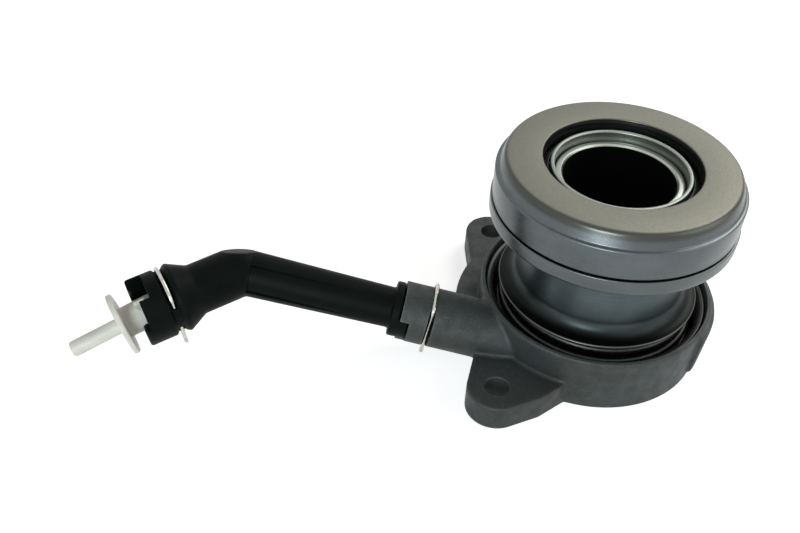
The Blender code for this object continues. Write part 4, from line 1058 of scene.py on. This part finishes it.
first, second, third = LUG_ANGLES
web = [polar(WEB_RADIUS, WEB_START + WEB_SPAN * i / WEB_STEPS) for i in range(WEB_STEPS + 1)]
notch = polar(NOTCH_RADIUS, NOTCH_ANGLE)
upper_side = [polar(ROOT, first - NEAR_ROOT), polar(HIP_RADIUS, first - HIP_ANGLE)]
lower_side = [polar(HIP_RADIUS, second + HIP_ANGLE), polar(ROOT, second + NEAR_ROOT)]
near_outline = upper_side + lug_end(first, upper_side[-1], web[0]) + web + [notch]
near_outline += lug_end(second, notch, lower_side[0]) + lower_side
far_sides = [polar(ROOT, third - FAR_ROOT), polar(ROOT, third + FAR_ROOT)]
far_outline = far_sides[:1] + lug_end(third, *far_sides) + far_sides[1:]
print("points in the lugs' outlines:", len(near_outline), "and", len(far_outline))

# %% [markdown]
# A flat pad stands on the wall to the right. It is a part of a ring, a little larger than the wall,
# and so is the key that the pipe has in the arm's end. One helper spins such a part.

# %% Helper for parts of a ring
WEDGE_STEPS = 40


def wedge(name, outline, start, span, place=Matrix.Identity(4)):
    """Spins an outline of (radius, height) points through a part of a circle and closes both ends."""
    work = bmesh.new()
    rows = []
    for i in range(WEDGE_STEPS + 1):
        turn = math.radians(start + span * i / WEDGE_STEPS)
        rows.append([work.verts.new((r * math.cos(turn), r * math.sin(turn), z)) for r, z in outline])
    for before, after in zip(rows, rows[1:]):
        for i in range(len(outline)):
            j = (i + 1) % len(outline)
            work.faces.new((before[i], before[j], after[j], after[i]))
    work.faces.new(rows[0])
    work.faces.new(rows[-1])
    return built(name, work, place)


# %% Rough casting
BELOW = -3.0 * MM          # the rough shapes run past the base, which is faced off later
PAD_STAND = 1.4 * MM
PAD_TOP = RIM_TOP - 0.6 * MM
PAD_FOOT = 1.6 * MM
PAD_ROOT = RIM_RADIUS - 1.2 * MM
PAD_START = -36.0          # degrees round the axis
PAD_SPAN = 63.0
STUB_DEPTH = 26.0 * MM     # how far the arm's stub runs into the wall
ALLOWANCE = 1.0 * MM       # metal that is left on for the cutters

pad = wedge("pad", [(RIM_RADIUS + PAD_STAND, PAD_TOP - PAD_STAND),
                    (BASE_RADIUS + PAD_STAND, PAD_FOOT + PAD_STAND),
                    (PAD_ROOT, PAD_FOOT), (PAD_ROOT, PAD_TOP)], PAD_START, PAD_SPAN)
wall = on_axis([(RIM_RADIUS, RIM_TOP, 0.5 * MM), (BASE_RADIUS, BELOW, 0.0)])
rough = spun("casting", wall, steps=144)
stub = rod("stub", ARM_RADIUS, -STUB_DEPTH, ARM_END + 2.0 * MM, arm, 96)
core = rod("core", CYLINDER_OUTER + ALLOWANCE, 0.0, CYLINDER_TOP, steps=96)
under = block("under", (-WELL_PAST, -WELL_PAST, -WELL_PAST), (WELL_PAST, WELL_PAST, BELOW))
stub = combined(stub, [under], "DIFFERENCE")
lugs = [slab("web", near_outline, BELOW, LUG_TOP), slab("lug", far_outline, BELOW, LUG_TOP)]
casting = combined(rough, lugs + [pad, stub, core], "UNION", "EXACT")
print("rough casting:", len(casting.data.polygons), "faces")

# %% Melt the casting
CAST_VOXEL = 0.5 * MM
casting = melted(casting, CAST_VOXEL, 7, 0.6)
print("melted casting:", len(casting.data.polygons), "faces")

# %% [markdown]
# The machine tool now faces the base, turns the spring's pocket and the cylinder, bores the arm for
# the pipe's nose and drills the bolt holes. Each cutter runs a little past the face that it cuts.
# The arm also gets a notch for the pipe's key and a slot on each side for the clip's legs.

# %% Cutters for the pocket and the cylinder
PAST = 1.0 * MM            # how far a cutter runs past a face
TUBE_SEAT = 2.1 * MM       # height of the seat for the guide tube's flange
base_floor = block("base_floor", (-WELL_PAST, -WELL_PAST, -WELL_PAST), (WELL_PAST, WELL_PAST, 0.0))
rim_bore = RIM_RADIUS - RIM_WALL
pocket = spun("pocket", rounded([
    (rim_bore + 0.8 * MM, RIM_TOP + 0.8 * MM, 0.0), (rim_bore, RIM_TOP - 0.5 * MM, 0.3 * MM),
    (rim_bore, SEAL_LEDGE, 0.2 * MM), (POCKET_RADIUS, SEAL_LEDGE, 0.2 * MM),
    (POCKET_RADIUS, POCKET_FLOOR, 1.0 * MM), (CYLINDER_OUTER, POCKET_FLOOR, 1.0 * MM),
    (CYLINDER_OUTER, CYLINDER_TOP + PAST, 0.0),
    (rim_bore + 0.8 * MM, CYLINDER_TOP + PAST, 0.0)]))
chamber = spun("chamber", on_axis([
    (CYLINDER_BORE + 1.0 * MM, CYLINDER_TOP + 0.5 * MM, 0.0),
    (CYLINDER_BORE, CYLINDER_TOP - 0.5 * MM, 0.2 * MM), (CYLINDER_BORE, CHAMBER_FLOOR, 0.5 * MM),
    (TUBE_OUTER + GAP, CHAMBER_FLOOR, 0.2 * MM), (TUBE_OUTER + GAP, TUBE_SEAT, 0.0),
    (tube_flange + GAP, TUBE_SEAT, 0.1 * MM), (tube_flange + GAP, -PAST, 0.0)]))

# %% Cutters for the arm
ARM_BORE_DEPTH = 22.0 * MM
KEY_DEPTH = 2.8 * MM
KEY_START = -54.0          # degrees round the arm
KEY_SPAN = 72.0
KEY_PLAY = 2.5             # degrees of room on each side of the key
ARM_CLIP_AT = ARM_END - 8.7 * MM
ARM_CLIP_HALF = 5.9 * MM
SLOT_HALF = WIRE + GAP
SLOT_REACH = 20.0 * MM     # beyond the outside of the arm or the leg


def clip_slots(name, half, outer, at, radius, place):
    """The two slots for a clip's legs, from just inside them out to a distance from the axis."""
    made = []
    for side in (-1.0, 1.0):
        low, high = sorted((side * (half - SLOT_HALF), side * outer))
        made.append(block(name, (low, -SLOT_REACH, at - SLOT_HALF),
                          (high, 0.8 * radius, at + SLOT_HALF), place))
    return made


arm_face = block("arm_face", (-0.03, -0.03, ARM_END), (0.03, 0.03, ARM_END + 0.03), arm)
arm_bore = spun("arm_bore", on_axis([
    (ARM_BORE + 0.9 * MM, ARM_END + 0.3 * MM, 0.0), (ARM_BORE, ARM_END - 0.6 * MM, 0.1 * MM),
    (ARM_BORE, ARM_END - ARM_BORE_DEPTH, 0.2 * MM)]), arm, 96)
notch_low = ARM_END - KEY_DEPTH
key_notch = wedge("key_notch", [
    (ARM_RADIUS + PAST, ARM_END + PAST), (ARM_RADIUS + PAST, notch_low),
    (ARM_BORE - 0.3 * MM, notch_low), (ARM_BORE - 0.3 * MM, ARM_END + PAST)],
    KEY_START - KEY_PLAY, KEY_SPAN + 2.0 * KEY_PLAY, arm)
arm_slots = clip_slots("arm_slot", ARM_CLIP_HALF, SLOT_REACH, ARM_CLIP_AT, ARM_RADIUS, arm)

# %% Machine the casting
cutters = [base_floor, pocket, chamber, arm_face, arm_bore, key_notch] + arm_slots
hole = on_axis([(BOLT_HOLE + 0.4 * MM, LUG_TOP + 0.2 * MM, 0.0),
                (BOLT_HOLE, LUG_TOP - 0.2 * MM, 0.1 * MM), (BOLT_HOLE, -PAST, 0.0)])
for angle in LUG_ANGLES:
    at = Matrix.Translation(polar(BOLT_CIRCLE, angle).to_3d())
    cutters.append(spun("bolt_hole", hole, at, 72))
casting = combined(casting, cutters, "DIFFERENCE")
dressed(casting, cast_finish, "housing", "housing", slot="cast_aluminium")

# %% [markdown]
# ## Pipe, clips and plug
#
# The pipe is one moulding: a nose in the arm's bore, a flange against the arm's end, a tapering
# limb, an elbow, and a wide connector that a line snaps into. It is made like the casting: rough
# shapes are melted together, and the crisp openings are cut after that. The upper outside of the
# bend has a small flat, which is cut first so that its edges melt too.

# %% Rough limb and leg
FLANGE_FACE = ARM_END + GAP
FLANGE_THICK = 2.6 * MM
FLANGE_RADIUS = 8.3 * MM
PIPE_START = 6.15 * MM     # the limb's radius at its flange, and at the elbow
PIPE_LEFT = 7.0 * MM
NOSE_RADIUS = ARM_BORE - GAP
NOSE_LENGTH = 20.5 * MM
GROOVE_RADIUS = SOCKET_RADIUS - 1.0 * MM
limb = spun("pipe_body", on_axis([
    (PIPE_LEFT, ELBOW_AT, 0.0), (PIPE_START, FLANGE_FACE + FLANGE_THICK, 0.3 * MM),
    (FLANGE_RADIUS, FLANGE_FACE + FLANGE_THICK, 0.3 * MM), (FLANGE_RADIUS, FLANGE_FACE, 0.2 * MM),
    (NOSE_RADIUS, FLANGE_FACE, 0.0), (NOSE_RADIUS, ARM_END - NOSE_LENGTH, 0.5 * MM)]), arm, 96)
connector = [
    # the mouth's rim, and the groove that the clip's bow lies over
    (SOCKET_RADIUS, SOCKET_END, 0.7 * MM), (SOCKET_RADIUS, 23.6 * MM, 0.3 * MM),
    (GROOVE_RADIUS, 23.1 * MM, 0.1 * MM), (GROOVE_RADIUS, 21.3 * MM, 0.1 * MM),
    # the ring behind it, and the slope down to the leg
    (10.0 * MM, 20.7 * MM, 0.2 * MM), (10.6 * MM, 19.6 * MM, 0.4 * MM),
    (LEG_RADIUS, 14.0 * MM, 1.0 * MM), (LEG_RADIUS, 0.0, 0.0)]
turned_leg = on_axis(connector)[:-1] + arc((0.0, 0.0), LEG_RADIUS, -8.0, -90.0, 12)
key_low = notch_low + GAP
key_high = FLANGE_FACE + 0.8 * MM
key = wedge("key", [
    (FLANGE_RADIUS - 0.1 * MM, key_high), (FLANGE_RADIUS - 0.1 * MM, key_low),
    (ARM_BORE - 0.8 * MM, key_low), (ARM_BORE - 0.8 * MM, key_high)], KEY_START, KEY_SPAN, arm)
limb = combined(limb, [spun("leg", turned_leg, leg, 96), key], "UNION", "EXACT")
print("rough pipe:", len(limb.data.polygons), "faces")

# %% Flatten the bend and melt the pipe
ELBOW_FLAT = 6.0 * MM      # from the elbow's middle to the flat
PIPE_VOXEL = 0.32 * MM
outwards = (arm.col[2].to_3d() - leg.col[2].to_3d()).normalized()
flat_normal = (outwards + arm.col[1].to_3d()).normalized()
across = flat_normal.orthogonal().normalized()
corner = Matrix((across, flat_normal.cross(across), flat_normal)).transposed().to_4x4()
corner.translation = elbow
flat = block("corner", (-0.02, -0.02, ELBOW_FLAT), (0.02, 0.02, 0.03), corner)
limb = combined(limb, [flat], "DIFFERENCE")
pipe_body = melted(limb, PIPE_VOXEL, 4)
print("melted pipe:", len(pipe_body.data.polygons), "faces")

# %% [markdown]
# The connector's mouth is bored for the line's end. A wide slot opens it on top, and its rim is
# stepped back a little on the upper near side. A shallow panel sinks into the limb's near side. Its
# floor keeps one radius while the limb tapers, so it is deepest at the elbow and fades out towards
# the flange.

# %% Cutters for the connector and the panel
SOCKET_BORE = 6.6 * MM
SOCKET_DEPTH = 12.2 * MM
TOP_SLOT_HALF = 5.2 * MM
TOP_SLOT_DEPTH = 4.6 * MM
RELIEF_FOOT = 1.1 * MM
RELIEF_DEPTH = 1.4 * MM
CLIP_AT = 22.2 * MM
CLIP_HALF = 7.6 * MM
PANEL_FLOOR = 6.3 * MM     # radius of the panel's floor
PANEL_LOW = 20.0 * MM
PANEL_HIGH = 60.0 * MM
PANEL_START = -14.0        # degrees round the limb
PANEL_SPAN = 79.0
past_mouth = SOCKET_END + 3.0 * MM
socket = spun("socket", on_axis([
    (SOCKET_BORE + 0.9 * MM, SOCKET_END + 0.4 * MM, 0.0),
    (SOCKET_BORE, SOCKET_END - 0.6 * MM, 0.2 * MM),
    (SOCKET_BORE, SOCKET_END - SOCKET_DEPTH, 0.3 * MM)]), leg, 96)
top_slot = block("top_slot", (-TOP_SLOT_HALF, 0.0, SOCKET_END - TOP_SLOT_DEPTH),
                 (TOP_SLOT_HALF, SLOT_REACH, past_mouth), leg)
relief = block("relief", (0.0, RELIEF_FOOT, SOCKET_END - RELIEF_DEPTH),
               (SLOT_REACH, SLOT_REACH, past_mouth), leg)
panel = wedge("panel", [(PANEL_FLOOR, PANEL_LOW), (2.0 * PANEL_FLOOR, PANEL_LOW),
                        (2.0 * PANEL_FLOOR, PANEL_HIGH), (PANEL_FLOOR, PANEL_HIGH)],
              PANEL_START, PANEL_SPAN, arm)
leg_slots = clip_slots("leg_slot", CLIP_HALF, CLIP_HALF + SLOT_HALF, CLIP_AT, SOCKET_RADIUS, leg)
cutters = [socket, top_slot, relief, panel] + leg_slots

# %% [markdown]
# The oil's way is one bore along the limb and one along the leg, with a ball of a slightly larger
# radius where they meet, which closes the outside of the bend. The nose has two grooves: the arm's
# clip lies across one, and the other holds the seal.

# %% Bore the pipe and groove its nose
PIPE_BORE = 2.6 * MM
BEND_BORE = 2.86 * MM
NOSE_SEAL_AT = 16.0 * MM   # from the arm's end
SEAL_SECTION = 0.62 * MM   # radius of the seal's section
oil_way = rod("oil_way", PIPE_BORE, ARM_END - NOSE_LENGTH - PAST, ELBOW_AT, arm)
leg_way = rod("leg_way", PIPE_BORE, 0.0, SOCKET_END - SOCKET_DEPTH + 0.3 * MM, leg)
bend = spun("bend", arc((0.0, 0.0), BEND_BORE, 90.0, -90.0, 16), leg, 64, closed=False)
cutters.append(combined(oil_way, [leg_way, bend], "UNION", "EXACT"))
seal_half = SEAL_SECTION + GAP
grooves = [(ARM_CLIP_AT, SLOT_HALF, ARM_BORE - 1.3 * MM),
           (ARM_END - NOSE_SEAL_AT, seal_half, ARM_BORE - 2.0 * seal_half)]
for at, half, floor_radius in grooves:
    cutters.append(spun("nose_groove", [(floor_radius, at - half), (ARM_BORE, at - half),
                                        (ARM_BORE, at + half), (floor_radius, at + half)], arm, 96))
pipe_body = combined(pipe_body, cutters, "DIFFERENCE")
dressed(pipe_body, pipe_finish, "housing", "pipe", slot="pipe_plastic")

# %% [markdown]
# The two clips are U-shaped wires: two straight legs that dip into slots, and a bow over the top.
# Geometry Nodes sweep a small circle along each clip's line. The line itself has a corner where the
# bow runs into a leg, and the same helper that rounds a turned piece's corners bends it there.

# %% Wire clips
ARM_TAIL = 9.2 * MM        # how far each clip's legs reach below its pipe's axis
LINE_TAIL = 10.6 * MM
CLIP_BEND = 1.2 * MM       # radius of the bend between bow and leg


def clip_line(half, tail, radius, at, place):
    """A U of wire as points in the frame of the pipe that it holds."""
    bow = radius + GAP + WIRE
    start = math.degrees(math.acos(half / bow))
    flat = [(p.x, p.y, 0.0) for p in arc((0.0, 0.0), bow, start, 180.0 - start, 24)]
    legs = [(half, -tail, 0.0), (half, bow * math.sin(math.radians(start)) - 0.4 * MM, CLIP_BEND)]
    route = rounded(legs + flat[1:-1] + [(-x, y, f) for x, y, f in reversed(legs)], 6)
    return [place @ Vector((p.x, p.y, at)) for p in route]


def polyline(name, points):
    mesh = bpy.data.meshes.new(name)
    mesh.from_pydata(points, [(i, i + 1) for i in range(len(points) - 1)], [])
    return linked(name, mesh)


bent, given, result = node_group("bent_wire", [
    ("Route", "NodeSocketObject", None), ("Wire", "NodeSocketFloat", 0.0006),
    ("Finish", "NodeSocketMaterial", None)])
info = bent.nodes.new("GeometryNodeObjectInfo")
bent.links.new(given.outputs["Route"], info.inputs["Object"])
line = bent.nodes.new("GeometryNodeMeshToCurve")
bent.links.new(info.outputs["Geometry"], line.inputs["Mesh"])
finish_tree(bent, given, result, swept_wire(bent, given, line.outputs["Curve"]))

arm_line = clip_line(ARM_CLIP_HALF, ARM_TAIL, ARM_RADIUS, ARM_CLIP_AT, arm)
leg_line = clip_line(CLIP_HALF, LINE_TAIL, GROOVE_RADIUS, CLIP_AT, leg)
clips = [("arm_wire", "arm_clip", arm_line), ("line_wire", "line_clip", leg_line)]
for name, node, points in clips:
    route = polyline("route", points)
    clip = run_nodes(name, bent, {"Route": route, "Wire": WIRE, "Finish": clip_finish})
    bpy.data.objects.remove(route, do_unlink=True)
    dressed(clip, clip_finish, "housing", node, slot="wire_steel")

# %% [markdown]
# A milky plug closes the connector until a line is fitted. It hangs a little, because its bead has
# some room in the socket. Bead, shank, disc and stem are one turned piece, and a small flat rib
# stands out from the shank.

# %% Transport plug
PLUG_STEM = 2.35 * MM      # radii of stem, disc, shank and bead
PLUG_FLANGE = 9.43 * MM
PLUG_SHANK = 4.57 * MM
PLUG_BEAD = 6.2 * MM
STEM_END = 28.9 * MM       # heights from the bead's middle
DISC_TOP = 14.0 * MM
DISC_FOOT = 12.4 * MM
BEAD_HALF = 1.0 * MM
SHANK_END = -2.6 * MM
RIB_HALF = 0.6 * MM
RIB_REACH = 8.6 * MM
RIB_LOW = 4.4 * MM
RIB_HIGH = 7.6 * MM
RIB_TURN = 66.0            # degrees round the plug
PLUG_AT = 23.5 * MM        # along the connector
PLUG_SAG = 6.3             # degrees
sag = Matrix.Translation((0.0, 0.0, PLUG_AT)) @ Matrix.Rotation(math.radians(PLUG_SAG), 4, "X")
hung = leg @ sag
plug = spun("plug", on_axis([
    (PLUG_STEM, STEM_END, 0.9 * MM), (PLUG_STEM, DISC_TOP, 0.5 * MM),
    (PLUG_FLANGE, DISC_TOP, 0.5 * MM), (PLUG_FLANGE, DISC_FOOT, 0.5 * MM),
    (PLUG_SHANK, DISC_FOOT, 0.4 * MM), (PLUG_SHANK, BEAD_HALF, 0.2 * MM),
    (PLUG_BEAD, BEAD_HALF, 0.3 * MM), (PLUG_BEAD, -BEAD_HALF, 0.3 * MM),
    (PLUG_SHANK, -BEAD_HALF, 0.2 * MM), (PLUG_SHANK, SHANK_END, 0.5 * MM)]), hung, 96)
rib = block("rib", (0.0, -RIB_HALF, RIB_LOW), (RIB_REACH, RIB_HALF, RIB_HIGH),
            hung @ Matrix.Rotation(math.radians(RIB_TURN), 4, "Z"))
plug = combined(plug, [rib], "UNION", "EXACT")
dressed(plug, plug_finish, "housing", "transport_plug", slot="plug_plastic")

# %% [markdown]
# ## What stays inside
#
# The balls, the cage, the inner ring, the piston and the seals are closed in on all sides. They
# keep their solids from the frame, and only get a finish each.

# %% Finishes of the inner nodes
inner = {"inner_ring": inner_finish, "cage": cage_finish, "piston": piston_finish,
         "support_ring": piston_finish, "piston_seal": rubber_finish, "tube_seal": rubber_finish,
         "pipe_seal": rubber_finish, "centring_spring": clip_finish}
inner.update({name: ball_finish for name in frame["nodes"] if name.startswith("ball_")})
for name, finish in inner.items():
    node = frame["nodes"][name]
    node.data.materials.clear()
    node.data.materials.append(finish)
print("inner nodes with a finish:", len(inner))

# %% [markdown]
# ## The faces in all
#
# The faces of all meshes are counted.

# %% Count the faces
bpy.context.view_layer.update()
faces = sum(len(item.data.polygons) for item in bpy.data.objects if item.type == "MESH")
print("faces in all:", faces)
